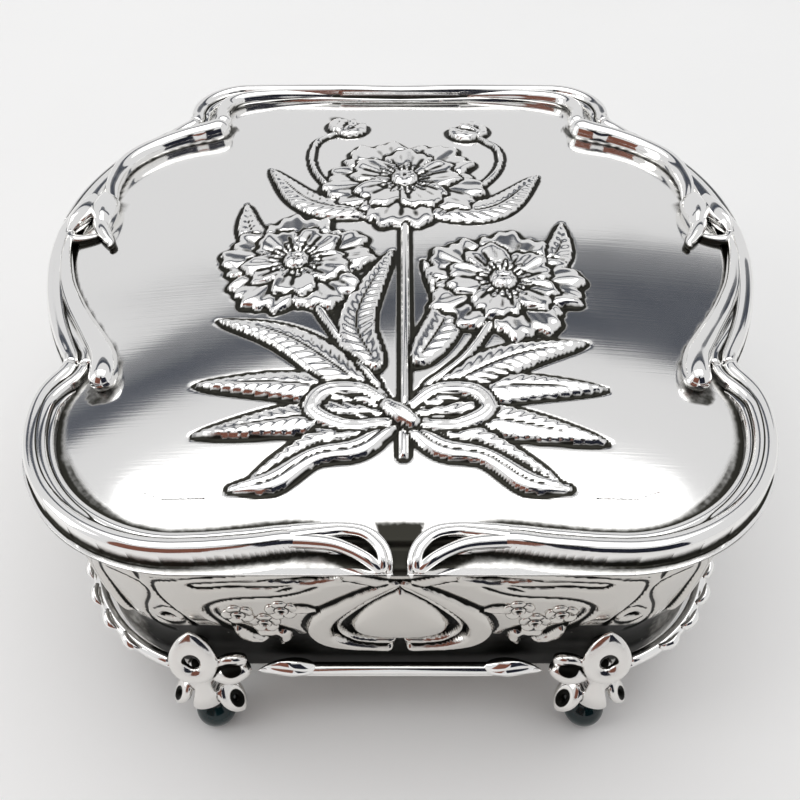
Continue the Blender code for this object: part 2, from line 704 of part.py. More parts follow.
def foot_mesh(hand):
    """A front foot with its ball at the origin; hand is the side the curled bud is on."""
    top = WALL_BOTTOM - GAP
    neck = top - BALL_R * 2
    cup = BALL_R + 2 * GAP
    rim = cup + CUP_WALL
    profile = [
        (0, top),
        (FOOT_TOP_R, top),
        (FOOT_TOP_R * 0.92, top - neck * 0.14),
        (NECK_R, top - neck * 0.45),
        (NECK_R, top - neck * 0.62),
        (cup, BALL_R + cup * 0.96),
        (rim, BALL_R * 1.5),
        (0, BALL_R * 1.5),
    ]
    base = turned("foot", profile, SILVER, steps=10, keep=False)
    front = SHIN_R[1] - KNEE_REACH - FOOT_IN
    curl_size = (BUD_CURL_R, BUD_CURL_R * 0.60, BUD_CURL_R * 0.76)
    curl = egg("curl", (hand * BUD_CURL_X, -0.0027, WALL_BOTTOM + BUD_CURL_R * 0.84), curl_size)
    stalk = egg("stalk", (hand * BUD_CURL_X * 0.5, -0.0030, WALL_BOTTOM), STALK_R)
    shin = egg("shin", (0, front, top + 0.0022), SHIN_R)
    petals = [egg("petal", (0, -cup * 0.78, BALL_R * 1.75), PETAL_R, PETAL_LEAN)]
    for side in (-1, 1):
        petals.append(egg("petal", (side * cup * 0.91, -cup * 0.26, BALL_R * 1.8), SIDE_PETAL_R))
    solid = combine(base, [knee_leaf(), shin, stalk, curl] + petals)
    hollow = egg("hollow", (0, 0, BALL_R), [cup] * 3, segments=FACETS, rings=8)
    solid = combine(solid, [hollow], "DIFFERENCE")
    mesh = solid.data
    bpy.data.objects.remove(solid, do_unlink=True)
    return mesh


def ball_mesh():
    """The ball, with a small flat ground on its underside."""
    flat = math.asin(BALL_FLAT_R / BALL_R)
    profile = [(0, 2 * BALL_R)]
    count = 7
    for i in range(1, count + 1):
        angle = (math.pi - flat) * i / count
        profile.append((BALL_R * math.sin(angle), BALL_R + BALL_R * math.cos(angle)))
    drop = profile[-1][1]
    profile.append((0, drop))
    ball = turned("ball", profile, ONYX, steps=12, keep=False)
    ball.data.transform(Matrix.Translation((0, 0, -drop)))
    mesh = ball.data
    bpy.data.objects.remove(ball, do_unlink=True)
    return mesh


def feet():
    """Four feet: a foot turned half round serves the corner across."""
    meshes = {1: foot_mesh(1), -1: foot_mesh(-1)}
    ball = ball_mesh()
    for row, y, turn in (("front", FRONT_Y + FOOT_IN, 0), ("back", BACK_Y - FOOT_IN, math.pi)):
        for name, side in (("left", -1), ("right", 1)):
            hand = -side if row == "front" else side
            place = (side * FOOT_X, y, 0)
            for kind, mesh, paint in (("foot", meshes[hand], SILVER), ("foot_ball", ball, ONYX)):
                obj = bpy.data.objects.new(f"{kind}_{row}_{name}", mesh)
                obj.location = place
                obj.rotation_euler.z = turn
                finish(obj, paint, flat=40)


# Hinge: two leaves with knuckles and a headed pin

def hinge_leaf(name, first, blocks, web):
    """Plates and webs joined to every second knuckle, bored for the pin."""
    solids = [block("plate", (-HINGE_HALF, *low), (HINGE_HALF, *high)) for low, high in blocks]
    for i in range(first, KNUCKLE_COUNT, 2):
        low = -HINGE_HALF + i * KNUCKLE_LENGTH + GAP / 2
        high = low + KNUCKLE_LENGTH - GAP
        solids.append(rod_x("knuckle", low, high, HINGE_Y, HINGE_Z, BARREL_R))
        solids.append(block("web", (low, *web[0]), (high, *web[1])))
    solid = combine(solids[0], solids[1:])
    bore = rod_x("bore", -HINGE_HALF - 0.002, HINGE_HALF + 0.002, HINGE_Y, HINGE_Z, PIN_R + PIN_CLEARANCE)
    leaf = combine(solid, [bore], "DIFFERENCE")
    leaf.name = name
    return finish(leaf, OLD_SILVER)


def hinge():
    """The body's leaf lies on the wall, the lid's leaf on the lid's edge."""
    wall = BACK_Y - WALL_INSET + GAP
    top = WALL_TOP - GAP
    plate = ((wall, top - LEAF_DROP), (wall + LEAF_THICK, top))
    arm = ((wall + LEAF_THICK / 2, top - LEAF_THICK * 1.3), (HINGE_Y, top))
    hinge_leaf("hinge_leaf_body", 0, [plate], arm)
    edge = BACK_Y - FLANGE_INSET + GAP
    low = HINGE_Z + BARREL_R + GAP
    lid_plate = ((edge, low), (edge + LEAF_THICK, HINGE_Z + LEAF_LIFT))
    web = ((edge, HINGE_Z), (HINGE_Y, low + LEAF_THICK / 2))
    hinge_leaf("hinge_leaf_lid", 1, [lid_plate], web)
    end = HINGE_HALF + GAP / 2
    profile = []
    for sign in (1, -1):
        run = [
            (0, end + PIN_HEAD_LENGTH),
            (PIN_HEAD_R * 0.7, end + PIN_HEAD_LENGTH),
            (PIN_HEAD_R, end + PIN_HEAD_LENGTH * 0.5),
            (PIN_HEAD_R, end),
            (PIN_R, end),
        ]
        profile += [(r, sign * z) for r, z in (run if sign == 1 else reversed(run))]
    pin = turned("hinge_pin", profile, OLD_SILVER, steps=12)
    pin.matrix_world = Matrix.Translation((0, HINGE_Y, HINGE_Z)) @ Matrix.Rotation(math.pi / 2, 4, "Y")


# Lining: card and velvet on the floor, the walls and inside the lid

def lining():
    """Velvet over card; every piece stops a gap short of the next."""
    floor = ring(FLOOR_INSET, LINING_Z), ring(FLOOR_INSET, LINING_Z + CARD)
    loft("lining_floor_card", floor, GREY_CARD)
    low = LINING_Z + CARD + GAP
    edge = FLOOR_INSET + PAD_EDGE
    pad = [ring(edge, low), ring(FLOOR_INSET, low + PAD_THICK * 0.35)]
    pad += [ring(edge, low + PAD_THICK * 0.75), ring(FLOOR_INSET + PAD_CROWN, low + PAD_THICK)]
    loft("lining_floor_pad", pad, VELVET_RED)
    inner = LINING_INSET + VELVET
    section = [(LINING_INSET, LINING_Z), (inner, LINING_Z), (inner, LINING_TOP - VELVET * 0.4)]
    section += [(inner - VELVET * 0.4, LINING_TOP), (LINING_INSET, LINING_TOP)]
    front_end = mark["lobe"]
    back_start = mark["back_notch"] + 1
    seam = 0.05
    front_stops = [(n, -1) for n in range(front_end, 0, -1)] + [(n, 1) for n in range(0, front_end + 1)]
    back_stops = [(n, 1) for n in range(back_start, LAST + 1)]
    back_stops += [(n, -1) for n in range(LAST - 1, back_start - 1, -1)]
    for name, stops in (("front", front_stops), ("back", back_stops)):
        rows = [[Vector((*at(n, inset, hand), z)) for inset, z in section] for n, hand in stops]
        loft("lining_wall_" + name, rows, VELVET_RED)
    for name, side in (("right", 1), ("left", -1)):
        stops = [front_end + seam] + list(range(front_end + 1, back_start)) + [back_start - seam * 2]
        rows = [[Vector((*at(n, inset, side), z)) for inset, z in section] for n in stops]
        loft("lining_wall_" + name, rows, VELVET_RED)


# Lid: a domed sheet with a turned-down edge, mouldings laid on its shoulder, and lining

def smoothed_reach():
    """Distance from the field's middle to its edge, by whole degrees, averaged past the notches."""
    edge = [p.xy - Vector((0, MIDDLE_Y)) for p in ring(STEP_INSET + STEP_RUN, 0)]
    spots = []
    for a, b in zip(edge, edge[1:] + edge[:1]):
        count = math.ceil((b - a).length / 0.001)
        spots += [a.lerp(b, i / count) for i in range(count)]
    polar = [(math.degrees(math.atan2(p.y, p.x)), p.length) for p in spots]
    reach = []
    for degree in range(360):
        total = weight = 0.0
        for angle, length in polar:
            away = abs((angle - degree + 180) % 360 - 180)
            if away < NOTCH_BLUR:
                share = 1 + math.cos(math.pi * away / NOTCH_BLUR)
                total += share * length
                weight += share
        reach.append(total / weight)
    return reach


FIELD_REACH = smoothed_reach()


def pillow(x, y):
    """Height of the lid's pillow over its edge at a plan point."""
    away = math.hypot(x, y - MIDDLE_Y)
    degree = math.degrees(math.atan2(y - MIDDLE_Y, x)) % 360
    low = int(degree) % 360
    part = degree - int(degree)
    reach = FIELD_REACH[low] * (1 - part) + FIELD_REACH[(low + 1) % 360] * part
    return DOME_RISE * max(0.0, 1 - (away / reach) ** DOME_POWER)


def lid_shell():
    """Rings from the middle of the underside, out over the edge, to the middle of the top."""
    steps = (0.30, 0.72)
    rings = [pillowed(LEDGE_INSET, s, UNDER_Z) for s in steps]
    rings += [ring(inset, z) for inset, z in (
        (LEDGE_INSET, UNDER_Z),
        (LEDGE_INSET, LEDGE_Z),
        (STEP_INSET, LEDGE_Z),
        (STEP_INSET, SEAM_Z),
        (FLANGE_INSET * 4, SEAM_Z),
        (FLANGE_INSET, SEAM_Z + FLANGE_HEIGHT * 0.3),
        (FLANGE_INSET, SEAM_Z + FLANGE_HEIGHT * 0.78),
        (FLANGE_INSET * 4, SHOULDER_Z),
        (STEP_INSET, SHOULDER_Z),
        (STEP_INSET + STEP_RUN * 0.35, FIELD_Z - FIELD_STEP * 0.35),
    )]
    rings += [pillowed(STEP_INSET + STEP_RUN, s, FIELD_Z) for s in (1.0, *reversed(steps))]
    sheet = loft("lid_shell", rings, SILVER)
    finish(combine(sheet, spray()), SILVER)


def spray():
    """Blades and stems tied in a bow, with three flowers and two buds, raised on the lid."""
    def place(u, v, lift):
        y = MIDDLE_Y + v
        return Vector((u, y, FIELD_Z + pillow(u, y) + lift))

    forms = []
    for root, bend, tip, width in BLADES:
        controls = [(*root, 0.5), (*bend, width), (*tip, 0.3)]
        forms.append(ridge("blade", controls, place, BLADE_RISE, FORM_SINK, crown=0.3, steps=2))
    for stem in STEMS:
        forms.append(ridge("stem", [(*p, STEM_HALF_WIDTH) for p in stem], place, LINE_RISE * 0.8, FORM_SINK))
    for root, bend, tip in BUDS:
        controls = [(*root, 1.2), (*bend, BUD_HALF_WIDTH), (*tip, 0.5)]
        forms.append(ridge("bud", controls, place, BLADE_RISE * 1.2, FORM_SINK, crown=0.4))
    for side in (1, -1):
        for run in (BOW_LOOP, BOW_TAIL):
            controls = [(BOW_TIE[0] + side * u, BOW_TIE[1] + v, width) for u, v, width in run]
            forms.append(ridge("ribbon", controls, place, LINE_RISE, FORM_SINK))
    for centre, size, bay in FLOWERS:
        petals = lobed(centre, size, bay, PETALS, PETAL_STEPS)
        forms.append(mound("flower", petals, centre, place, FLOWER_PROFILE))
    knot = lobed(BOW_TIE, 2.6, 45.0, 4, 2)
    forms.append(mound("knot", knot, BOW_TIE, place, ((1.0, -FORM_SINK), (0.75, 1.5), (0.2, 1.9))))
    return forms


def field_z(point):
    """Height of the field under a plan point."""
    return FIELD_Z + pillow(point.x, point.y)


def seat(point, inset, radius):
    """Height of a bar's centre line where it lies on the shoulder, the step or the field."""
    low = SHOULDER_Z + GAP + radius
    away = STEP_INSET + STEP_RUN - inset
    if away >= radius:
        return low
    inner = point + (Vector((0, MIDDLE_Y)) - point).normalized() * radius
    ground = field_z(inner) + 2 * GAP
    if away <= 0:
        return ground + radius
    return max(low, ground + math.sqrt(radius ** 2 - away ** 2))


def rim_bar(name, start, end, side):
    """Part of the main roll, between two station numbers."""
    stops = [start] + list(range(math.floor(start) + 1, math.ceil(end))) + [end]
    points = [Vector((*at(n, RIM_INSET, side), RIM_Z)) for n in stops]
    points, radii = rounded_ends(points, [RIM_R] * len(points), steps=2)
    tube(name, points, radii, SILVER)


def front_rim(name, side):
    """The roll from the front notch to its curl, which dips over the edge at the middle."""
    notch_at = mark["front_notch"] - 0.15
    stops = [notch_at] + list(range(math.floor(notch_at), 1, -1))
    points = [Vector((*at(n, RIM_INSET, side), RIM_Z)) for n in stops]
    radii = [RIM_R] * len(points)
    thin = RIM_R * 0.68
    tip = CURL_GAP + thin
    curl = [
        (0.0200, RIM_INSET, RIM_R),
        (0.0125, 0.0023, RIM_R * 0.86),
        (0.0068, 0.0022, RIM_R * 0.74),
        (tip + 0.0004, 0.0030, thin),
        (tip + 0.0005, 0.0058, thin),
        (0.0056, 0.0080, thin),
        (0.0092, 0.0080, thin * 0.90),
        (0.0138, 0.0066, thin * 0.60),
    ]
    for x, inset, radius in smooth(curl, 3):
        place = Vector((side * x, FRONT_Y + inset))
        points.append(Vector((*place, seat(place, inset, radius))))
        radii.append(radius)
    points, radii = rounded_ends(points, radii, steps=2)
    tube(name, points, radii, SILVER)


def scroll(name, controls, side, start_dome=False):
    """A tapering roll on the field, through (station, inset, radius) controls."""
    points, radii = [], []
    for position, inset, radius in smooth(controls, 3):
        place = at(position, inset, side)
        points.append(Vector((*place, seat(place, inset, radius))))
        radii.append(radius)
    points, radii = rounded_ends(points, radii, start=start_dome)
    tube(name, points, radii, SILVER)


def bud(name, side):
    """A tear-shaped bud that lies over the rim where two rolls meet."""
    station = mark["side_front"] - 0.2
    lie = at(station, BUD_R + 0.0006, side)
    profile = []
    count = 8
    for i in range(count + 1):
        t = i / count
        radius = BUD_R * math.sin(math.pi * t ** 0.62) ** 0.8 if 0 < t < 1 else 0
        profile.append((radius, BUD_LENGTH * (0.5 - t)))
    made = turned(name, profile, SILVER, steps=12)
    made.data.transform(Matrix.Diagonal((1.0, BUD_HEIGHT / BUD_R, 1.0, 1.0)))
    toward = Vector((-side * 0.0045, -0.010, -0.0006)).normalized()
    inner = lie + Vector((toward.x, toward.y)) * BUD_LENGTH / 2 + Vector((-side * BUD_R, 0))
    made.matrix_world = (
        Matrix.Translation((lie.x, lie.y, field_z(inner) + 2 * GAP + BUD_HEIGHT))
        @ toward.to_track_quat("Z", "Y").to_matrix().to_4x4()
    )


def lid_ornaments():
    """Rolls, scrolls and buds, the same on both sides."""
    bud_at = mark["side_front"] - 0.2
    for name, side in (("right", 1), ("left", -1)):
        front_rim("lid_rim_front_" + name, side)
        rim_bar("lid_rim_side_" + name, mark["front_notch"] + 0.15, bud_at - 0.5, side)
        notch_at = mark["front_notch"]
        scroll("lid_roll_" + name, [
            (bud_at - 0.9, 0.0072, 0.0009),
            (bud_at - 1.8, 0.0078, 0.0015),
            (notch_at + 2.6, 0.0084, 0.0023),
            (notch_at + 0.6, 0.0092, ROLL_R),
            (notch_at - 1.8, 0.0100, ROLL_R),
            (notch_at - 3.2, 0.0125, ROLL_R * 0.95),
        ], side, start_dome=True)
        back_at = mark["back_notch"]
        scroll("lid_whiplash_" + name, [
            (bud_at + 1.0, 0.0092, 0.0007),
            (bud_at + 1.9, 0.0056, 0.0016),
            (bud_at + 3.2, RIM_INSET, RIM_R),
            (back_at - 2.4, RIM_INSET + 0.0004, RIM_R),
            (back_at - 1.2, 0.0066, RIM_R),
            (back_at - 0.4, 0.0140, WHIP_R),
        ], side, start_dome=True)
        bud("lid_bud_" + name, side)
    back_start = mark["back_notch"] + 0.6
    stops = [back_start] + list(range(math.ceil(back_start), LAST + 1))
    plan = [at(n, RIM_INSET) for n in stops]
    plan += [Vector((-p.x, p.y)) for p in reversed(plan[:-1])]
    points = [Vector((*p, RIM_Z)) for p in plan]
    points, radii = rounded_ends(points, [RIM_R] * len(points), steps=2)
    tube("lid_rim_back", points, radii, SILVER)


def lid_lining():
    """A card against the ledge and a thin velvet pad under it."""
    card_in = INNER_INSET + GAP
    card_top = LEDGE_Z - GAP
    loft("lid_lining_card", [ring(card_in, card_top - CARD), ring(card_in, card_top)], GREY_CARD)
    top = card_top - CARD - GAP
    low = top - LID_PAD_THICK
    inset = FLOOR_INSET
    pad = [ring(inset + PAD_CROWN, low), ring(inset + PAD_EDGE, low + LID_PAD_THICK * 0.3)]
    pad += [ring(inset, low + LID_PAD_THICK * 0.65), ring(inset + PAD_EDGE, top)]
    loft("lid_lining_pad", pad, VELVET_RED)


body_shell()
base_plate()
base_rails()
feet()
hinge()
lining()
lid_shell()
lid_ornaments()
lid_lining()

# The lid's pieces hang from an empty on the hinge's axis
pivot = bpy.data.objects.new("lid_pivot", None)
pivot.location = (0, HINGE_Y, HINGE_Z)
parts.objects.link(pivot)
bpy.context.view_layer.update()
for piece in list(parts.objects):
    if piece.name.startswith("lid_") and piece is not pivot or piece.name == "hinge_leaf_lid":
        piece.parent = pivot
        piece.matrix_parent_inverse = pivot.matrix_world.inverted()
bpy.context.view_layer.update()
print("nodes", len([p for p in parts.objects if p.type == "MESH"]))
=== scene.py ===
# %% [markdown]
# # A silver jewellery casket on ball feet
# The casket is a lobed box of silver plate, polished on its high places and dark in its
# hollows. Its wall and lid are one plan outline set in by different distances, so this lesson
# first rebuilds that outline, then carries sections round it, draws reliefs on it and lays
# mouldings along it. All shapes are worked out in millimetres and written in metres.

# %% The fixed frame
import math

import bmesh
import bpy
import numpy as np
from mathutils import Matrix, Quaternion, Vector, kdtree


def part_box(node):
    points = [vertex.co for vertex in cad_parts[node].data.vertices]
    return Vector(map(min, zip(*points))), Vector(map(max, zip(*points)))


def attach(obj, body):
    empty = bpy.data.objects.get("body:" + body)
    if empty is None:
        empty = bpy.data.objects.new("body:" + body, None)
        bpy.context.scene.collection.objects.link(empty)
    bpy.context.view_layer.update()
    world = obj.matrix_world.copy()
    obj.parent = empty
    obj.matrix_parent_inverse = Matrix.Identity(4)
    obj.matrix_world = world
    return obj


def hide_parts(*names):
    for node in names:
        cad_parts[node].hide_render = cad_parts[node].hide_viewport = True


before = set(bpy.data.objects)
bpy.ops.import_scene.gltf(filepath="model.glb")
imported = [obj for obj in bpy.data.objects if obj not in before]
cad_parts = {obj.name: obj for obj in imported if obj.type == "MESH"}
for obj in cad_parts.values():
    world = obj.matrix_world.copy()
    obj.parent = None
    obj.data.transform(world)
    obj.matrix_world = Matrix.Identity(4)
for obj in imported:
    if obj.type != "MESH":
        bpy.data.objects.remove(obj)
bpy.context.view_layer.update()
MM = 0.001

# %% [markdown]
# ## The camera and the studio
# The picture is taken from the front and above, close to the lid, so the near lobes look wide
# and the back narrow. A mirror shows what stands round it: a bright ceiling, pale walls, a
# grey screen with a dark foot behind the lid, a dark camera stand, and a brown and a dark card
# in front. They are hidden from the camera itself, so only the silver sees them.

# %% Camera
CAMERA_PLACE = (0.0, -140.35, 172.3)
CAMERA_TILT = 42.5
FOCAL_PIXELS = 850
PICTURE_PIXELS = 800
SENSOR = 36.0

camera_data = bpy.data.cameras.new("camera")
camera_data.sensor_width = SENSOR
camera_data.lens = SENSOR * FOCAL_PIXELS / PICTURE_PIXELS
camera = bpy.data.objects.new("camera", camera_data)
camera.location = [value * MM for value in CAMERA_PLACE]
camera.rotation_euler = (math.radians(CAMERA_TILT), 0, 0)
bpy.context.scene.collection.objects.link(camera)
bpy.context.scene.camera = camera
bpy.context.scene.view_settings.view_transform = "Standard"
print("lens", round(camera_data.lens, 2), "mm")


# %% [markdown]
# ## One way to write shaders
# A shader is a sum of small nodes. The class below wraps a socket, so that sums read like
# arithmetic, and the bench adds any other node in one call: its type, its settings, then the
# values or links of its sockets.

# %% Wires and benches
class Wire:
    """The output socket of a node, which can be used in sums."""

    def __init__(self, bench, socket):
        self.bench = bench
        self.socket = socket

    def sum(self, operation, other):
        """The output of a node that works on this value and another."""
        return self.bench.node("ShaderNodeMath", {"operation": operation}, {0: self, 1: other})

    def __add__(self, other):
        return self.sum("ADD", other)

    def __sub__(self, other):
        return self.sum("SUBTRACT", other)

    def __mul__(self, other):
        return self.sum("MULTIPLY", other)


class Bench:
    """A node tree with one method that adds any node."""

    def __init__(self, tree):
        self.tree = tree

    def node(self, kind, settings=None, inputs=None, output=0):
        """Add a node with its settings and sockets, and hand back one of its outputs."""
        made = self.tree.nodes.new(kind)
        for key, value in (settings or {}).items():
            if key == "stops":
                set_stops(made.color_ramp, value)
            else:
                setattr(made, key, value)
        for key, value in (inputs or {}).items():
            self.feed(made.inputs[key], value)
        return Wire(self, made.outputs[output])

    def feed(self, socket, value):
        """Link a wire to a socket, or set the socket to an even value."""
        if isinstance(value, Wire):
            self.tree.links.new(value.socket, socket)
        else:
            socket.default_value = value

    def place(self):
        """Where on its own piece a point lies."""
        return self.node("ShaderNodeTexCoord", output=3)

    def noise(self, where, scale, detail):
        """Clouds or grain, by their scale."""
        return self.node("ShaderNodeTexNoise", inputs={"Vector": where, "Scale": scale, "Detail": detail})

    def bump(self, strength, distance, height, **under):
        """A surface bent by heights, over another bent surface if one is given."""
        sockets = {"Strength": strength, "Distance": distance, "Height": height, **under}
        return self.node("ShaderNodeBump", inputs=sockets)


def set_stops(ramp, stops):
    """Give a colour ramp its stops, as pairs of a position and a grey or a colour."""
    while len(ramp.elements) > 1:
        ramp.elements.remove(ramp.elements[-1])
    for number, (position, tone) in enumerate(stops):
        stop = ramp.elements[0] if number == 0 else ramp.elements.new(position)
        stop.position = position
        stop.color = (*tone, 1.0) if hasattr(tone, "__len__") else (tone, tone, tone, 1.0)


def finish_of(name, **sockets):
    """A new material, its bench and its Principled shader, with the even values set on it."""
    made = bpy.data.materials.new(name)
    made.use_nodes = True
    bench = Bench(made.node_tree)
    shader = made.node_tree.nodes["Principled BSDF"]
    for socket, value in sockets.items():
        shader.inputs[socket.replace("_", " ")].default_value = value
    return made, bench, shader


def mix(bench, share, first, second):
    """Two colours mixed by a share."""
    settings = {"data_type": "RGBA"}
    colours = [value if isinstance(value, Wire) else (*value, 1.0) for value in (first, second)]
    return bench.node("ShaderNodeMix", settings, {0: share, 6: colours[0], 7: colours[1]}, output=2)


print("shader tools ready")

# %% Studio: floor, lights and screens
FLOOR_WHITE = (0.86, 0.86, 0.85)
FLOOR_PALER = (0.90, 0.90, 0.89)
FLOOR_SIZE = 6.0
STUDIO_TONE = (0.80, 0.80, 0.81)
STUDIO_LIGHT = 0.93
BAND_ROLL = -8.0
CASKET_MIDDLE = (0, 0, 0.06)
SCREENS = [
    # name, width and height, place in metres, tone, roll in degrees
    ("grey_screen", (2.6, 0.20), (0.0, 0.74, 0.78), (0.26, 0.27, 0.29), BAND_ROLL),
    ("dark_screen", (2.6, 0.10), (0.0, 0.66, 0.76), (0.085, 0.095, 0.120), BAND_ROLL),
    ("camera_stand", (0.22, 0.30), (0.02, -0.62, 0.78), (0.02, 0.018, 0.016), 0.0),
    ("brown_card", (0.60, 0.62), (-0.32, -0.66, 0.38), (0.25, 0.105, 0.075), 0.0),
    ("dark_card", (0.60, 0.62), (0.30, -0.66, 0.38), (0.020, 0.022, 0.034), 0.0),
]


def new_object(name, mesh):
    """An object with a mesh, put into the scene."""
    made = bpy.data.objects.new(name, mesh)
    bpy.context.scene.collection.objects.link(made)
    return made


def flat_card(name, width, height, paint):
    """A painted oblong that lies flat round the origin."""
    x, y = width / 2, height / 2
    mesh = bpy.data.meshes.new(name)
    mesh.from_pydata([(-x, -y, 0), (x, -y, 0), (x, y, 0), (-x, y, 0)], [], [(0, 1, 2, 3)])
    mesh.materials.append(paint)
    made = new_object(name, mesh)
    return made


def screen(name, size, place, tone, roll):
    """A card that only reflections see, turned to face the casket and rolled."""
    paint, bench, shader = finish_of(name, Roughness=1.0, Specular_IOR_Level=0.0)
    shader.inputs["Base Color"].default_value = (*tone, 1.0)
    made = flat_card(name, *size, paint)
    made.location = place
    aim = (Vector(CASKET_MIDDLE) - Vector(place)).to_track_quat("Z", "Y")
    made.rotation_euler = (aim @ Quaternion((0, 0, 1), math.radians(roll))).to_euler()
    made.visible_camera = False
    made.visible_shadow = False


def floor():
    """A pale table top with the faintest mottling."""
    paint, bench, shader = finish_of("table_top", Roughness=0.6)
    cloud = bench.noise(bench.place(), 9.0, 3.0)
    bench.feed(shader.inputs["Base Color"], mix(bench, cloud, FLOOR_WHITE, FLOOR_PALER))
    flat_card("table_top", FLOOR_SIZE, FLOOR_SIZE, paint)


def lamp(name, size, power, place, aim):
    """A square soft light that points from one place to another."""
    data = bpy.data.lights.new(name, "AREA")
    data.shape = "RECTANGLE"
    data.size, data.size_y = size
    data.energy = power
    made = bpy.data.objects.new(name, data)
    made.location = place
    made.rotation_euler = (Vector(aim) - Vector(place)).to_track_quat("-Z", "Y").to_euler()
    bpy.context.scene.collection.objects.link(made)


def studio():
    """Pale surroundings, a wide ceiling light, a window on the left and the screens."""
    world = bpy.data.worlds.new("studio")
    bpy.context.scene.world = world
    world.use_nodes = True
    backdrop = world.node_tree.nodes["Background"]
    backdrop.inputs["Color"].default_value = (*STUDIO_TONE, 1.0)
    backdrop.inputs["Strength"].default_value = STUDIO_LIGHT
    floor()
    lamp("ceiling", (1.6, 1.2), 9.5, (0.0, 0.1, 1.5), (0, 0, 0))
    lamp("left_window", (0.5, 0.9), 3.0, (-1.3, -0.3, 0.7), (0, 0, 0.05))
    for row in SCREENS:
        screen(*row)


studio()
print("studio lit")

# %% [markdown]
# ## The plan outline
# Seen from above the lid is a chain of arcs: two broad lobes in front, bowed sides and small
# round corners behind, with tight hollow notches between them. Arcs are the right tool, as a
# mould maker would scribe them with compasses. The table that comes out knows, for each
# millimetre travelled along the edge, where the edge is and which way is out.

# %% Driving sizes of the outline
lid_low, lid_high = [np.array(corner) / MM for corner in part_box("lid_shell")]
wall_low, wall_high = [np.array(corner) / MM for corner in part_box("body_shell")]
FLANGE_INSET = 0.2
HALF_WIDTH = lid_high[0] + FLANGE_INSET
FRONT_Y = lid_low[1] - FLANGE_INSET
BACK_Y = lid_high[1] + FLANGE_INSET
SIDE_Y = FRONT_Y + 86.0
LOBE_HALF_WIDTH = 64.5
LOBE_FRONT_R = 31.0
LOBE_BACK_R = 19.0
CORNER_HALF_WIDTH = 53.0
CORNER_R = 14.0
SIDE_FRONT_R = 85.0
SIDE_MEETS_CORNER = 3.65
NOTCH_R = 3.0
OUTLINE_PITCH = 0.15
print("outline", round(2 * HALF_WIDTH, 1), "by", round(BACK_Y - FRONT_Y, 1), "mm")


# %% Arcs and the notches between them
def run_of(place):
    """How far along a line of points each one lies."""
    return np.concatenate([[0], np.cumsum(np.linalg.norm(np.diff(place, axis=0), axis=1))])


def arc(centre, radius, start, end, hollow=False):
    """Places and outward directions along an arc; a hollow arc is rounded from outside."""
    count = max(4, round(abs(math.radians(end - start)) * radius / OUTLINE_PITCH))
    angle = np.radians(np.linspace(start, end, count + 1))
    out = np.stack([np.cos(angle), np.sin(angle)], axis=1)
    return np.array(centre) + out * radius, -out if hollow else out


def straight(start, end, out):
    """Places and directions along a straight edge."""
    count = round(math.dist(start, end) / OUTLINE_PITCH)
    return np.linspace(start, end, count + 1), np.tile(out, (count + 1, 1)).astype(float)


def bearing(origin, target):
    """Direction from one point to another, in degrees."""
    return math.degrees(math.atan2(target[1] - origin[1], target[0] - origin[0]))


def notch(lower, lower_r, upper, upper_r):
    """The round that touches two arcs from outside: its centre and the bearings of both ends."""
    a, b = np.array(lower), np.array(upper)
    span = np.linalg.norm(b - a)
    ahead = (b - a) / span
    reach_a, reach_b = lower_r + NOTCH_R, upper_r + NOTCH_R
    far = (reach_a ** 2 - reach_b ** 2 + span ** 2) / (2 * span)
    across = math.sqrt(reach_a ** 2 - far ** 2)
    square = np.array([ahead[1], -ahead[0]])
    centre = max((a + ahead * far + square * across * turn for turn in (1, -1)), key=lambda p: p[0])
    return centre, bearing(centre, a) % 360, bearing(centre, b) % 360


def outline():
    """The right half of the edge, front to back, and how far along it each stretch ends."""
    corner = (CORNER_HALF_WIDTH - CORNER_R, BACK_Y - CORNER_R)
    run = corner[1] - SIDE_Y
    fall = HALF_WIDTH - (CORNER_HALF_WIDTH - SIDE_MEETS_CORNER)
    side_back_r = (run ** 2 + fall ** 2) / (2 * fall)
    lobe = (LOBE_HALF_WIDTH - LOBE_FRONT_R, FRONT_Y + LOBE_FRONT_R)
    shoulder = (LOBE_HALF_WIDTH - LOBE_BACK_R, lobe[1])
    side_front = (HALF_WIDTH - SIDE_FRONT_R, SIDE_Y)
    side_back = (HALF_WIDTH - side_back_r, SIDE_Y)
    front = notch(shoulder, LOBE_BACK_R, side_front, SIDE_FRONT_R)
    back = notch(corner, CORNER_R, side_back, side_back_r)
    stretches = {
        "front": straight((0, FRONT_Y), (lobe[0], FRONT_Y), (0, -1)),
        "lobe": arc(lobe, LOBE_FRONT_R, -90, 0),
        "shoulder": arc(shoulder, LOBE_BACK_R, 0, bearing(shoulder, front[0])),
        "front_notch": arc(front[0], NOTCH_R, front[1], front[2], True),
        "side_front": arc(side_front, SIDE_FRONT_R, bearing(side_front, front[0]), 0),
        "side_back": arc(side_back, side_back_r, 0, bearing(side_back, back[0])),
        "back_notch": arc(back[0], NOTCH_R, back[2], back[1], True),
        "corner": arc(corner, CORNER_R, bearing(corner, back[0]), 90),
        "back": straight((corner[0], BACK_Y), (0, BACK_Y), (0, 1)),
    }
    place = np.vstack([line[0][:-1] for line in stretches.values()] + [[(0, BACK_Y)]])
    out = np.vstack([line[1][:-1] for line in stretches.values()] + [[(0, 1)]])
    travelled = run_of(place)
    ends = np.cumsum([len(line[0]) - 1 for line in stretches.values()])
    return place, out, travelled, {name: travelled[end] for name, end in zip(stretches, ends)}


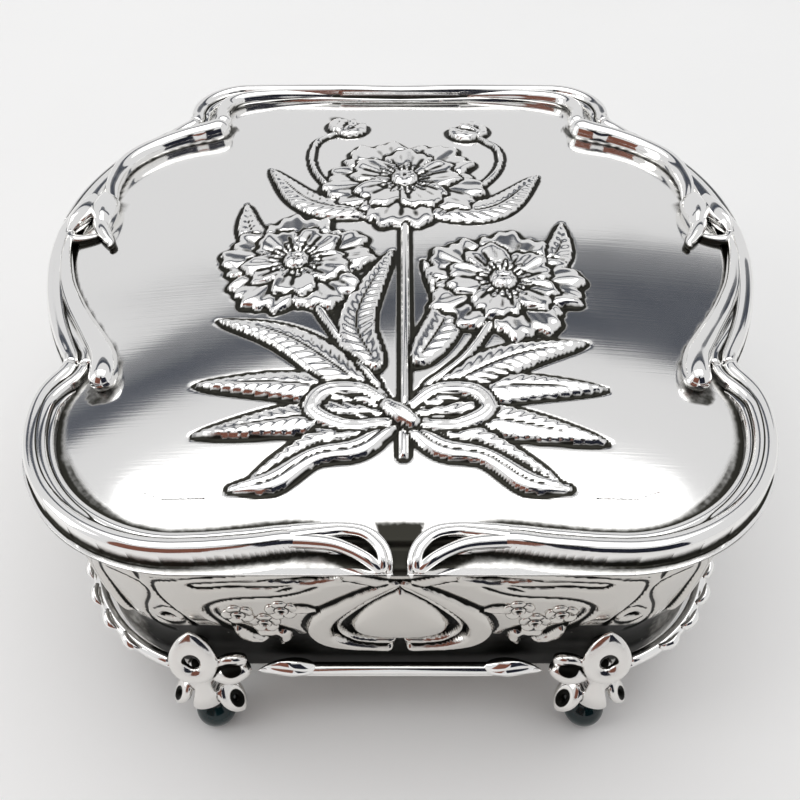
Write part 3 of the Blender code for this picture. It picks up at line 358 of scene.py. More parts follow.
edge_place, edge_out, edge_travel, END_OF = outline()
HALF_EDGE = edge_travel[-1]
FRONT_NOTCH = (END_OF["shoulder"] + END_OF["front_notch"]) / 2
BACK_NOTCH = (END_OF["side_back"] + END_OF["back_notch"]) / 2
BUD_AT = END_OF["side_front"] + 1.0
print("half the edge:", round(HALF_EDGE, 1), "mm, notches:", round(FRONT_NOTCH, 1), round(BACK_NOTCH, 1))


# %% Reading the outline
def out_at(travel, side=1):
    """Outward direction at distances along the edge, on either side."""
    out = np.stack([np.interp(travel, edge_travel, edge_out[:, axis]) for axis in (0, 1)], axis=-1)
    out /= np.linalg.norm(out, axis=-1, keepdims=True)
    out[..., 0] *= side
    return out


def along(travel, inset=0.0, side=1):
    """Plan points at distances along the edge, set in from it."""
    travel, inset = np.broadcast_arrays(np.asarray(travel, float), inset)
    spot = np.stack([np.interp(travel, edge_travel, edge_place[:, axis]) for axis in (0, 1)], axis=-1)
    spot[..., 0] *= side
    return spot - out_at(travel, side) * inset[..., None]


def around(travel, inset=0.0):
    """Plan points all the way round: out along the right side and home along the left."""
    travel = np.asarray(travel, float) % (2 * HALF_EDGE)
    side = np.where(travel <= HALF_EDGE, 1.0, -1.0)
    spot = along(np.where(side > 0, travel, 2 * HALF_EDGE - travel), inset)
    spot[..., 0] *= side
    return spot


def solid_points(plan, height):
    """Plan points with a height, as points in space."""
    height = np.broadcast_to(height, plan.shape[:-1])
    return np.concatenate([plan, height[..., None]], axis=-1)


print("widest place", np.round(along(END_OF["side_front"]), 1))


# %% [markdown]
# ## Skins, bars and the memory of hollows
# Nearly all of the casket is a skin over rows of points: a section carried along a path. The
# rows are worked out as arrays and become one closed mesh. Polish reaches the high places of
# silver and leaves the low ones dark, so each mesh remembers how deep each of its points lies
# under its own smoothed surface. Some pieces add painted shade to that memory, where shade
# falls in their recesses and beside other parts. The finish reads that memory as an attribute.

# %% Closed skins
def as_object(name, points, faces):
    """A mesh object from points in millimetres, its doubles merged and its faces turned out."""
    mesh = bpy.data.meshes.new(name)
    mesh.from_pydata((np.asarray(points) * MM).tolist(), [], faces)
    bm = bmesh.new()
    bm.from_mesh(mesh)
    bmesh.ops.remove_doubles(bm, verts=bm.verts, dist=1e-7)
    bmesh.ops.dissolve_degenerate(bm, edges=bm.edges, dist=1e-8)
    bmesh.ops.recalc_face_normals(bm, faces=bm.faces)
    bm.to_mesh(mesh)
    bm.free()
    mesh.shade_smooth()
    return new_object(name, mesh)


def quads_over(index):
    """Four-cornered faces between the rows and columns of a table of point numbers."""
    corners = (index[:-1, :-1], index[:-1, 1:], index[1:, 1:], index[1:, :-1])
    return np.stack(corners, axis=-1).reshape(-1, 4).tolist()


def skin(rows, loop=False, start=0):
    """Points and faces over closed rows; loop joins the last row to the first, else both are capped."""
    rows = np.asarray(rows)
    lines, width = rows.shape[:2]
    index = np.arange(start, start + lines * width).reshape(lines, width)
    wrapped = np.hstack([index, index[:, :1]])
    if loop:
        return rows.reshape(-1, 3), quads_over(np.vstack([wrapped, wrapped[:1]]))
    return rows.reshape(-1, 3), quads_over(wrapped) + [index[0].tolist(), index[-1].tolist()]


def joined(name, skins, loops=()):
    """One object from lists of rows, each a closed solid; those in loops close on themselves."""
    points, faces = [], []
    total = 0
    for rows, loop in [(rows, True) for rows in loops] + [(rows, False) for rows in skins]:
        more_points, more_faces = skin(rows, loop, total)
        points.append(more_points)
        faces += more_faces
        total += len(more_points)
    return as_object(name, np.vstack(points), faces)


def places_of(made):
    """The places of a mesh's points, in millimetres."""
    flat = np.empty(len(made.data.vertices) * 3)
    made.data.vertices.foreach_get("co", flat)
    return flat.reshape(-1, 3) / MM


def hollows(made, passes=14, depth=0.10, extra=None):
    """Store on each point how far it lies under the smoothed surface, from 0 to 1, raised where the extra
    values, which carry painted shade, are higher.
    """
    mesh = made.data
    place = places_of(made)
    count = len(place)
    flat = np.empty(count * 3, dtype=np.float32)
    mesh.vertices.foreach_get("normal", flat)
    ends = np.empty(len(mesh.edges) * 2, dtype=np.int32)
    mesh.edges.foreach_get("vertices", ends)
    first, second = ends.reshape(-1, 2).T
    neighbours = np.maximum(np.bincount(ends, minlength=count), 1)[:, None]
    soft = place.copy()
    for _ in range(passes):
        total = [np.bincount(first, soft[second, axis], count)
                 + np.bincount(second, soft[first, axis], count) for axis in range(3)]
        soft = soft * 0.4 + np.stack(total, axis=1) / neighbours * 0.6
    sunk = np.clip(((soft - place) * flat.reshape(-1, 3)).sum(axis=1) / depth, 0, 1)
    # Extra values are painted shade, and on the lid patina too, laid over the depth.
    if extra is not None:
        sunk = np.maximum(sunk, extra)
    layer = mesh.attributes.new("hollow", "FLOAT", "POINT")
    layer.data.foreach_set("value", sunk.astype(np.float32))


def triangles(made):
    """How many triangles a mesh has when each face is cut into them."""
    return sum(len(face.vertices) - 2 for face in made.data.polygons)


def repaint(made, paint):
    """Give an object one finish."""
    made.data.materials.clear()
    made.data.materials.append(paint)


def settle(made, paint, body, slot, *nodes):
    """Paint a finished piece, tie it to its body and hide the nodes it stands for."""
    repaint(made, paint)
    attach(made, body)
    if nodes:
        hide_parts(*nodes)
    print(f"{made.name}: {triangles(made)} triangles")


# %% Bars along smooth curves
def smooth_line(controls, pitch=0.3):
    """Evenly spaced values on a Catmull-Rom curve through control values of any length."""
    rows = np.array(controls, float)
    rows = np.vstack([2 * rows[0] - rows[1], rows, 2 * rows[-1] - rows[-2]])
    t = np.linspace(0, 1, 24, endpoint=False)[:, None]
    curve = []
    for a, b, c, d in zip(rows, rows[1:], rows[2:], rows[3:]):
        curve.append((2 * b + (c - a) * t + (2 * a - 5 * b + 4 * c - d) * t ** 2
                      + (3 * b - a - 3 * c + d) * t ** 3) / 2)
    curve = np.vstack(curve + [rows[-2:-1]])
    space = min(3, rows.shape[1])
    travel = run_of(curve[:, :space])
    count = max(6, round(travel[-1] / pitch))
    even = np.linspace(0, travel[-1], count + 1)
    return np.stack([np.interp(even, travel, curve[:, k]) for k in range(curve.shape[1])], axis=1)


def bar(controls, sides=28, pitch=0.3, flat=1.0):
    """Rows of a round bar through (x, y, z, radius) controls, with domed ends inside its length."""
    line = smooth_line(controls, pitch)
    place, radius = line[:, :3], line[:, 3]
    travel = run_of(place)
    length = travel[-1]
    first, last = (min(radius[end], length / 2) for end in (0, -1))
    dome = 1 - np.cos(np.linspace(0, math.pi / 2, 9))
    between = travel[(travel > first) & (travel < length - last)]
    marks = np.unique(np.concatenate([first * dome, between, length - last * dome]))
    place = np.stack([np.interp(marks, travel, place[:, k]) for k in range(3)], axis=1)
    radius = np.interp(marks, travel, radius)
    for size, gone in ((first, marks), (last, length - marks)):
        radius = radius * np.sqrt(1 - (1 - np.clip(gone / size, 0, 1)) ** 2)
    return tube_rows(place, radius, sides, flat)


def tube_rows(place, radius, sides, flat=1.0):
    """Rings round a line of points, turned as little as possible from one to the next."""
    ahead = np.gradient(place, axis=0)
    ahead /= np.linalg.norm(ahead, axis=1, keepdims=True)
    square = np.cross(ahead[0], (0, 0, 1))
    if np.linalg.norm(square) < 0.1:
        square = np.cross(ahead[0], (0, 1, 0))
    angle = np.linspace(0, math.tau, sides, endpoint=False)
    rows = []
    for spot, way, size in zip(place, ahead, radius):
        square = square - way * square.dot(way)
        square /= np.linalg.norm(square)
        lift = np.cross(square, way)
        rows.append(spot + size * (np.outer(np.cos(angle), square) + np.outer(np.sin(angle) * flat, lift)))
    return np.array(rows)


print("makers ready")

# %% [markdown]
# ## Polished silver with dark hollows
# Silver plate is a nearly perfect mirror: a metallic shader with a very pale, faintly warm
# colour. Three things make it look old and handled: an olive-black patina where the polishing
# cloth never reached, hair scratches in one direction, and a slow waviness from hammering and
# buffing. The patina follows the stored hollows, broken up by noise so that it isn't a stencil.
# The same dark tones also colour the painted shade that some pieces store with their hollows.

# %% Silver
SILVER_TONE = (0.93, 0.925, 0.91)
# Dark tones for the patina in the hollows and for the painted shade stored with it.
PATINA_AND_SHADE_TONE = (0.030, 0.029, 0.024)
PATINA_AND_SHADE_EDGE = (0.26, 0.25, 0.22)


def silver(name, gloss=0.075, scratches=0.05, waves=0.00003, tone=SILVER_TONE, patina_and_shade=PATINA_AND_SHADE_TONE):
    """Polished silver plate whose hollows stay dark with patina, darkened further where painted shade is
    stored.
    """
    paint, bench, shader = finish_of(name, Metallic=1.0)
    where = bench.place()
    sunk = bench.node("ShaderNodeAttribute", {"attribute_name": "hollow"}, output=2)
    speckle, cloud = bench.noise(where, 900.0, 4.0), bench.noise(where, 120.0, 3.0)
    # The stored value holds patina and painted shade; both darken the colour and roughen it.
    patina_and_shade_mask = bench.node("ShaderNodeMapRange", {"interpolation_type": "SMOOTHSTEP"}, {
        "Value": sunk + (speckle - 0.5) * 0.5 * sunk + (cloud - 0.5) * 0.25 * sunk,
        "From Min": 0.12, "From Max": 0.72})
    aged_and_shaded = mix(bench, patina_and_shade_mask, PATINA_AND_SHADE_EDGE, patina_and_shade)
    bench.feed(shader.inputs["Base Color"], mix(bench, patina_and_shade_mask, tone, aged_and_shaded))
    smear = bench.noise(where, 45.0, 5.0)
    bench.feed(shader.inputs["Roughness"], patina_and_shade_mask * 0.34 + (smear - 0.5) * 0.10 + gloss)
    turned = bench.node("ShaderNodeMapping", inputs={
        "Vector": where, "Rotation": (0.0, 0.0, math.radians(35)), "Scale": (40.0, 2600.0, 300.0)})
    hairs = bench.bump(scratches, 0.00002, bench.noise(turned, 1.0, 2.0))
    swell = bench.noise(where, 70.0, 1.0)
    bench.feed(shader.inputs["Normal"], bench.bump(1.0, waves, swell, Normal=hairs))
    return paint


CAST_SILVER = silver("polished_silver")
FIELD_SILVER = silver("polished_silver_field", gloss=0.11, scratches=0.22, waves=0.00002)
CREASED = {"passes": 10, "depth": 0.06}


def cast(made, body, *nodes, paint=CAST_SILVER, **patina_and_shade_settings):
    """Store a silver piece's hollows, with any painted shade given, and settle it."""
    hollows(made, **patina_and_shade_settings)
    settle(made, paint, body, "polished_silver", *nodes)


print("silver:", CAST_SILVER.name, "and", FIELD_SILVER.name)

# %% [markdown]
# ## Drawing a relief
# The raised ornament is drawn like a repoussé worker draws it: form by form, each laid over
# the one before, with the ground chased down round its edge. A relief is a sheet of heights,
# and each form is a formula on the distance to a line or on a bearing round a centre.

# %% A sheet of heights
CHASED_WIDTH = 0.42
CHASED_DEPTH = 0.30


def smoothstep(low, high, value):
    """0 below low, 1 above high and a soft rise between them."""
    share = np.clip((value - low) / (high - low), 0, 1)
    return share * share * (3 - 2 * share)


class Relief:
    """Heights over a sheet of points, raised one form after another."""

    def __init__(self, x, y):
        self.shape = x.shape
        self.x = x.ravel()
        self.y = y.ravel()
        self.height = np.zeros(self.x.size)

    def near(self, line, reach):
        """Points near a line: their numbers, distance, side, share of the way and nearest way ahead."""
        line = np.asarray(line)
        low, high = line[:, :2].min(axis=0) - reach, line[:, :2].max(axis=0) + reach
        inside = (self.x > low[0]) & (self.x < high[0]) & (self.y > low[1]) & (self.y < high[1])
        found = np.flatnonzero(inside)
        px, py = self.x[found], self.y[found]
        best = np.full(found.size, 1e9)
        share = np.zeros(found.size)
        hand = np.zeros(found.size)
        segments = len(line) - 1
        for number, (start, end) in enumerate(zip(line[:-1, :2], line[1:, :2])):
            step = end - start
            t = np.clip(((px - start[0]) * step[0] + (py - start[1]) * step[1]) / (step @ step), 0, 1)
            dx, dy = px - start[0] - t * step[0], py - start[1] - t * step[1]
            away = np.hypot(dx, dy)
            closer = away < best
            best[closer] = away[closer]
            share[closer] = (number + t[closer]) / segments
            hand[closer] = np.sign(step[0] * dy - step[1] * dx)[closer]
        keep = best < reach
        return found[keep], best[keep], hand[keep], share[keep]

    def lay(self, found, depth_in, height, soft=0.22, chased=CHASED_DEPTH):
        """Cover points with a form; depth_in is how far inside its edge each one lies."""
        cover = smoothstep(-soft / 2, soft / 2, depth_in)
        old = self.height[found]
        cut = chased * np.exp(-((depth_in + soft / 2) / CHASED_WIDTH) ** 2) * (depth_in < soft / 2)
        self.height[found] = (old - cut) * (1 - cover) + height * cover

    def along(self, controls, pitch, margin):
        """Points near (x, y, half width) controls, their distance, half width there and the widest."""
        line = smooth_line(controls, pitch)
        widest = line[:, 2].max()
        found, away, hand, share = self.near(line, widest + margin)
        return found, away, np.interp(share * (len(line) - 1), np.arange(len(line)), line[:, 2]), widest

    def about(self, centre, reach):
        """Points near a centre: their numbers, distance and bearing."""
        dx, dy = self.x - centre[0], self.y - centre[1]
        away = np.hypot(dx, dy)
        found = np.flatnonzero(away < reach)
        return found, away[found], np.degrees(np.arctan2(dy, dx))[found]

    def rib(self, controls, level=0.0, height=1.0, chased=CHASED_DEPTH, groove=0.0):
        """A rounded ridge through (x, y, half width) controls; its height follows its width."""
        found, away, half, widest = self.along(controls, 0.8, 2 * CHASED_WIDTH)
        inside = np.clip(1 - (away / np.maximum(half, 1e-6)) ** 2, 0, 1)
        top = level + height * (half / widest) * np.sqrt(inside)
        if groove:
            top = top - groove * np.exp(-(away / 0.22) ** 2)
        self.lay(found, half - away, top, chased=chased)

    def leaf(self, controls, width, level=0.0, height=1.0, veins=0.12, skew=0.62, twist=0.25):
        """A blade along a line, ridged at its middle, with slanting veins."""
        line = smooth_line(controls, 0.8)
        found, away, hand, share = self.near(line, width + 2 * CHASED_WIDTH)
        half = width * np.sin(math.pi * np.clip(share, 0.001, 0.999) ** skew) ** 0.8
        across = away / np.maximum(half, 1e-6)
        travel = share * 0.8 * (len(line) - 1)
        swell = 0.25 + 0.75 * np.sqrt(np.clip(1 - across ** 2, 0, 1))
        body = height * swell * (1 + twist * hand * across)
        ribs = veins * np.cos((travel - away * 1.1) * 2.9) * smoothstep(0.08, 0.4, across)
        rib = -0.22 * np.exp(-(away / 0.28) ** 2) * smoothstep(0.0, 0.1, share)
        self.lay(found, half - away, level + body + ribs + rib)

    def petal(self, centre, way, length, spread, level, lift=1.6, folds=7, curl=0.35, phase=0.0):
        """One petal round a flower's centre, cupped up towards a frilled rim."""
        found, away, heading = self.about(centre, length + 2 * CHASED_WIDTH)
        turn = (heading - way + 180) % 360 - 180
        keep = np.abs(turn) < spread + 25
        found, away, turn = found[keep], away[keep], turn[keep]
        swing = turn / spread
        frill = 1 + 0.045 * np.sin(swing * folds * 1.3 + phase)
        frill = frill + 0.03 * np.sin(swing * folds * 2.9 + 2 * phase)
        rim = length * np.clip(1 - np.abs(swing) ** 3.2, 0, 1) ** 0.42 * frill
        side_room = (spread - np.abs(turn)) * np.radians(1) * away
        depth_in = np.minimum(rim - away, side_room + 0.25)
        share = np.clip(away / np.maximum(rim, 1e-6), 0, 1)
        cup = lift * (0.28 + 0.72 * share ** 1.4) * (1 - curl * smoothstep(0.86, 1.0, share))
        ripple = share * (0.26 * np.sin(swing * folds + phase) + 0.10 * np.sin(swing * folds * 2.6 + phase))
        round_edge = np.clip(depth_in / 0.9, 0, 1)
        body = level + (cup + ripple) * np.sqrt(1 - (1 - round_edge) ** 2)
        self.lay(found, depth_in, body)

    def strap(self, controls, level, edge=0.5, chased=CHASED_DEPTH):
        """A broad flat band through (x, y, half width) controls, with rounded edges."""
        found, away, half, widest = self.along(controls, 0.5, 2 * CHASED_WIDTH)
        inward = np.clip((half - away) / edge, 0, 1)
        top = level - edge * (1 - np.sqrt(1 - (1 - inward) ** 2))
        self.lay(found, half - away, top, chased=chased)

    def disc(self, centre, radius, level, height):
        """A round boss."""
        found, away, heading = self.about(centre, radius + 2 * CHASED_WIDTH)
        share = np.clip(away / radius, 0, 1)
        self.lay(found, radius - away, level + height * np.sqrt(1 - share ** 2))

    def panel(self, outline_points, centre, level, crown):
        """A filled form whose edge is a closed curve seen from its centre, gently crowned."""
        edge = np.array(outline_points) - centre
        way = np.degrees(np.arctan2(edge[:, 1], edge[:, 0]))
        order = np.argsort(way)
        reach = np.hypot(edge[:, 0], edge[:, 1])[order]
        found, away, heading = self.about(centre, reach.max() + 2 * CHASED_WIDTH)
        rim = np.interp(heading, way[order], reach, period=360)
        share = np.clip(away / rim, 0, 1)
        self.lay(found, (rim - away) * 0.85, level + crown * (1 - share ** 4))

    def cut(self, controls, depth):
        """A groove through (x, y, half width) controls."""
        found, away, half, widest = self.along(controls, 0.5, 0.1)
        inside = np.clip(1 - (away / np.maximum(half, 0.05)) ** 2, 0, 1)
        self.height[found] -= depth * np.clip(half / 0.75, 0.25, 1) * np.sqrt(inside)


print("relief tools ready")

# %% [markdown]
# ## The lid's field
# The lid is one stamped sheet: a pillow that rises from the mouldings, a spray of flowers
# raised in its middle and a rolled edge turned down all round. The spray needs an even mesh,
# the edge needs one that follows the outline, so a net in the middle is joined ring by ring to
# the lobed edge outside it, and the underside closes it.

# %% Heights of the lid
SEAM_Z = lid_low[2]
SHOULDER_Z = SEAM_Z + 2.7
FIELD_Z = SHOULDER_Z + 0.8
UNDER_Z = FIELD_Z - 1.4
PILLOW_RISE = 4.6
PILLOW_POWER = 2.2
NOTCH_BLUR = 24.0
STEP_INSET = 4.8
FIELD_INSET = 5.6
NET_PITCH = 0.40
NET_HALF_X = 37.6
NET_Y = (-60.0, 54.0)
MIDDLE_Y = (FRONT_Y + BACK_Y) / 2


def smoothed_reach():
    """Distance from the field's middle to its edge, by whole degrees, averaged past the notches."""
    edge = around(np.arange(0, 2 * HALF_EDGE, 0.5), FIELD_INSET) - (0, MIDDLE_Y)
    angle = np.degrees(np.arctan2(edge[:, 1], edge[:, 0]))
    length = np.hypot(edge[:, 0], edge[:, 1])
    reach = []
    for degree in range(361):
        away = np.abs((angle - degree + 180) % 360 - 180)
        share = (1 + np.cos(math.pi * away / NOTCH_BLUR)) * (away < NOTCH_BLUR)
        reach.append((share * length).sum() / share.sum())
    return np.array(reach)


FIELD_REACH = smoothed_reach()


def pillow(x, y):
    """Height of the lid's pillow over its own edge."""
    bearing_to = np.degrees(np.arctan2(y - MIDDLE_Y, x)) % 360
    reach = np.interp(bearing_to, np.arange(361), FIELD_REACH)
    return PILLOW_RISE * np.clip(1 - (np.hypot(x, y - MIDDLE_Y) / reach) ** PILLOW_POWER, 0, 1)


print("pillow in the middle", round(float(pillow(0.0, MIDDLE_Y)), 2), "mm")


# %% The spray
# All places are measured from the middle of the lid, +Y to the back.
FLOWERS = [
    # centre, size, bearing of the first bay between its petals
    ((1.0, 24.0), 17.5, 84.0),
    ((-20.5, -5.0), 15.0, 128.0),
    ((20.0, -11.0), 15.5, 38.0),
]
BLADES = [
    # root, bend, tip and half width
    ((-2.2, -43.6), (-16.0, -38.0), (-36.0, -37.0), 3.3),
    ((2.2, -43.6), (16.0, -38.5), (36.0, -38.0), 3.3),
    ((-2.4, -44.4), (-15.0, -44.5), (-34.5, -48.0), 3.3),
    ((2.4, -44.4), (15.0, -45.0), (34.5, -49.5), 3.3),
    ((-2.0, -45.0), (-11.0, -48.5), (-24.5, -57.0), 3.0),
    ((2.0, -45.0), (11.0, -48.8), (25.5, -57.0), 3.0),
    ((-1.8, -42.6), (-19.5, -27.0), (-34.0, -21.0), 3.7),
    ((1.8, -42.6), (18.5, -32.0), (34.0, -27.0), 3.7),
    ((-19.0, -12.0), (-30.0, 4.0), (-33.0, 16.0), 3.7),
    ((18.5, -14.0), (31.0, -2.5), (34.0, 9.0), 3.7),
    ((-5.0, 11.0), (-19.0, 15.5), (-29.5, 30.0), 3.5),
    ((6.0, 11.0), (20.0, 13.5), (31.0, 27.0), 3.5),
]
UPPER_BLADES = [
    ((3.0, -33.0), (9.0, -18.5), (4.5, -4.5), 3.4),
    ((-4.0, -34.0), (-8.0, -21.5), (-1.5, -1.5), 3.3),
]
STEMS = [
    [(0.6, -52.0), (1.0, -20.0), (1.0, 10.0)],
    [(-4.0, -37.5), (-11.5, -25.5), (-18.0, -13.0)],
    [(5.0, -37.5), (12.0, -30.5), (18.5, -19.0)],
]
BUD_STEMS = [
    [(-6.0, 9.0), (-18.5, 27.0), (-20.0, 41.0), (-15.0, 47.0)],
    [(9.0, 11.0), (21.0, 27.0), (23.0, 38.0), (18.5, 44.5)],
]
BOW_TIE = (0.0, -44.0)
BOW_LOOP = [
    (1.6, 1.5, 0.9), (6.5, 5.2, 1.3), (13.0, 4.8, 1.6), (14.8, 0.6, 1.6), (9.0, -2.4, 1.3), (2.0, -1.6, 0.9),
]
BOW_TAIL = [(0.6, -0.9, 1.3), (6.5, -6.4, 1.9), (14.0, -8.2, 1.7), (20.5, -13.0, 2.0), (27.0, -14.2, 0.6)]
PETALS_IN_RING = 5
STAMENS = 22
SEED_RIBS = 8


def ways_round(count):
    """Directions evenly round a circle."""
    angle = math.tau * np.arange(count) / count
    return np.stack([np.cos(angle), np.sin(angle)], axis=1)


def open_flower(relief, centre, size, first):
    """Five petals, five shorter ones over them, a crown of stamens and a seed head."""
    step = 360 / PETALS_IN_RING
    for number in range(PETALS_IN_RING):
        relief.petal(centre, first + step * (number + 0.5), size, 45, 0.15, lift=1.15, folds=8,
                     phase=number * 1.7)
    for number in range(PETALS_IN_RING):
        relief.petal(centre, first + step * number, size * 0.70, 42, 0.50, lift=1.25, folds=6,
                     phase=number * 2.3 + 1)
    middle = np.array(centre)
    crown = size * 0.27
    for number, way in enumerate(ways_round(STAMENS)):
        root = middle + way * crown * 0.45
        end = middle + way * crown * (1.25 if number % 2 else 1.05)
        relief.rib([(*root, 0.20), (*(root * 0.4 + end * 0.6), 0.20), (*end, 0.36)], 1.0, 0.55, chased=0.12)
    relief.disc(centre, crown * 0.62, 1.1, 1.0)
    for way in ways_round(SEED_RIBS):
        ends = [(*(middle + way * 0.3), 0.16), (*(middle + way * crown * 0.5), 0.2)]
        relief.rib(ends, 1.95, 0.25, chased=0.1)


def nodding_bud(relief, stem, size):
    """A closed bud at the end of its stem, two halves of its cap parting over the petals."""
    relief.rib([(*point, 0.55) for point in stem], 0.0, 0.9)
    tip, before = np.array(stem[-1]), np.array(stem[-2])
    way = (tip - before) / np.linalg.norm(tip - before)
    square = np.array([-way[1], way[0]])
    for turn in (-1, 0, 1):
        lean = way * size + square * turn * size * 0.42
        relief.leaf([tip, tip + lean * 0.5 + square * turn * size * 0.18, tip + lean],
                    size * (0.34 if turn else 0.30), 0.35 + 0.25 * (turn == 0), 1.1, veins=0.06, skew=0.8)


def bow(relief):
    """A ribbon bow with two loops and two long tails, tied round the stems."""
    cx, cy = BOW_TIE
    for side in (-1, 1):
        relief.rib([(cx + side * u, cy + v, half) for u, v, half in BOW_TAIL], 0.1, 0.95, groove=0.3)
        relief.rib([(cx + side * u, cy + v, half) for u, v, half in BOW_LOOP], 0.4, 1.0, groove=0.25)
    relief.rib([(cx - 2.0, cy + 1.6, 1.3), (cx, cy, 1.7), (cx + 2.0, cy - 1.6, 1.3)], 0.8, 1.1, groove=0.2)


def spray(relief):
    """Blades and stems gathered in a bow, three flowers and two buds."""
    for root, bend, tip, width in BLADES:
        relief.leaf([root, bend, tip], width, 0.05, 1.05, skew=0.7)
    for stem in STEMS:
        relief.rib([(*point, 0.75) for point in stem], 0.05, 0.85)
    for root, bend, tip, width in UPPER_BLADES:
        relief.leaf([root, bend, tip], width, 0.2, 1.0)
    for stem in BUD_STEMS:
        nodding_bud(relief, stem, 7.0)
    for centre, size, first in FLOWERS[1:] + FLOWERS[:1]:
        open_flower(relief, centre, size, first)
    bow(relief)


# %% The field, its edge and its underside
NET_BORDER_INSET = 10.8
FIELD_RINGS = (9.9, 9.0, 8.2, 7.5, 6.9, 6.4, 6.0, FIELD_INSET)
UNDER_INSET = 8.2
EDGE_PROFILE = [
    # inset and height, from the field's border out over the rolled edge and back under it
    (5.25, -0.10), (4.95, -0.45), (4.7, -0.80), (4.0, -0.80), (3.4, -0.80), (2.8, -0.80),
    (2.2, -0.80), (1.7, -0.81), (1.3, -0.84), (0.9, -0.92), (0.55, -1.06), (0.28, -1.28),
    (0.10, -1.58), (0.05, -1.90), (0.14, -2.25), (0.36, -2.60), (0.70, -2.92), (1.15, -3.24),
    (1.6, -3.50), (2.6, -3.50), (STEP_INSET, -3.50), (STEP_INSET, -2.0), (UNDER_INSET, -2.0),
    (UNDER_INSET, -1.4),
]


def net_rim(columns, rows):
    """Row and column numbers round the edge of a square net, from the middle of its front."""
    half = columns // 2
    front = [(0, c) for c in range(half, columns - 1)]
    right = [(r, columns - 1) for r in range(rows - 1)]
    back = [(rows - 1, c) for c in range(columns - 1, 0, -1)]
    left = [(r, 0) for r in range(rows - 1, 0, -1)]
    return front + right + back + left + [(0, c) for c in range(half)]


def matched_travel(rim, columns, rows):
    """How far round the outline each point of the net's edge belongs, corner to corner."""
    half, deep = columns // 2, rows - 1
    lobe_middle = (END_OF["front"] + END_OF["lobe"]) / 2
    corner_middle = (END_OF["back_notch"] + END_OF["corner"]) / 2
    turns = np.cumsum([0, half, deep, half, half, deep, half])
    travel = [0, lobe_middle, corner_middle, HALF_EDGE, 2 * HALF_EDGE - corner_middle,
              2 * HALF_EDGE - lobe_middle, 2 * HALF_EDGE]
    return np.interp(np.arange(len(rim)), turns, travel)


def lid_field():
    """One closed sheet: net, rings, rolled edge and underside."""
    columns = 2 * round(NET_HALF_X / NET_PITCH) + 1
    rows = round((NET_Y[1] - NET_Y[0]) / NET_PITCH) + 1
    x, v = np.meshgrid(np.linspace(-NET_HALF_X, NET_HALF_X, columns), np.linspace(*NET_Y, rows))
    relief = Relief(x, v)
    spray(relief)
    fade = smoothstep(0, 1.2, np.minimum(NET_HALF_X - np.abs(x), np.minimum(v - NET_Y[0], NET_Y[1] - v)))
    y = v + MIDDLE_Y
    height = FIELD_Z + pillow(x, y) + relief.height.reshape(x.shape) * fade
    points = [np.stack([x, y, height], axis=-1).reshape(-1, 3)]
    index = np.arange(columns * rows).reshape(rows, columns)
    faces = quads_over(index)
    rim = net_rim(columns, rows)
    travel = matched_travel(rim, columns, rows)
    last = np.array([index[spot] for spot in rim])
    total = columns * rows
    net_edge = points[0][last][:, :2]
    border = around(travel, NET_BORDER_INSET)
    plans = [net_edge + (border - net_edge) * share for share in np.linspace(0, 1, 8)[1:]]
    plans += [around(travel, inset) for inset in FIELD_RINGS]
    levels = [FIELD_Z + pillow(plan[:, 0], plan[:, 1]) for plan in plans]
    edge_rise = pillow(plans[-1][:, 0], plans[-1][:, 1])
    drawn_in = 0.5 * smoothstep(56, 40, np.minimum(travel, 2 * HALF_EDGE - travel))
    plans += [around(travel, inset + drawn_in * max(0.0, 1 - inset / 1.9)) for inset, _ in EDGE_PROFILE]
    for inset, drop in EDGE_PROFILE:
        near_field = smoothstep(STEP_INSET - 0.1, FIELD_INSET, inset) * (drop > -0.9)
        levels.append(FIELD_Z + drop + edge_rise * near_field)
    middle = np.array([0.0, MIDDLE_Y])
    under_edge = around(travel, UNDER_INSET)
    for share in (0.72, 0.30):
        plan = middle + (under_edge - middle) * share
        plans.append(plan)
        levels.append(UNDER_Z + pillow(plan[:, 0], plan[:, 1]))
    for plan, level in zip(plans, levels):
        points.append(solid_points(plan, level))
        now = np.arange(total, total + len(rim))
        faces += quads_over(np.stack([np.append(last, last[0]), np.append(now, now[0])]))
        last = now
        total += len(rim)
    faces.append(last.tolist())
    return as_object("lid_field", np.vstack(points), faces)


def on_edge(place):
    """How far from the outline each place lies, and how far along its half of it."""
    travel = np.arange(0, 2 * HALF_EDGE, 0.3)
    ring = around(travel)
    tree = kdtree.KDTree(len(ring))
    for number, (x, y) in enumerate(ring):
        tree.insert((x, y, 0), number)
    tree.balance()
    found = [tree.find((x, y, 0)) for x, y in place[:, :2]]
    near = travel[[number for _, number, _ in found]]
    return np.array([gap for _, _, gap in found]), np.minimum(near, 2 * HALF_EDGE - near)


def beside(place, path, width):
    """How near each place lies to a roll's foot, from 1 at its edge to 0 a width away."""
    line = smooth_line(path, 0.8)
    gap = np.full(len(place), 1e9)
    for x, y, radius in line:
        gap = np.minimum(gap, np.hypot(np.abs(place[:, 0]) - x, place[:, 1] - y) - radius)
    return smoothstep(width, 0.15 * width, gap)


def bundle_border(travel, inner):
    """Inset of the rolls' inner or outer foot at distances along the edge."""
    steps = np.arange(0, HALF_EDGE, 1.0)
    inset = np.arange(0.1, 9.0, 0.1)
    risen = rim_height(steps[:, None], inset[None, :]) > 0.1
    if inner:
        foot = inset[inset.size - 1 - np.argmax(risen[:, ::-1], axis=1)] * risen.any(axis=1)
    else:
        foot = inset[np.argmax(risen, axis=1)]
    foot = np.convolve(np.pad(foot, 3, mode="edge"), np.full(7, 1 / 7), mode="valid")
    return np.interp(travel, steps, foot)


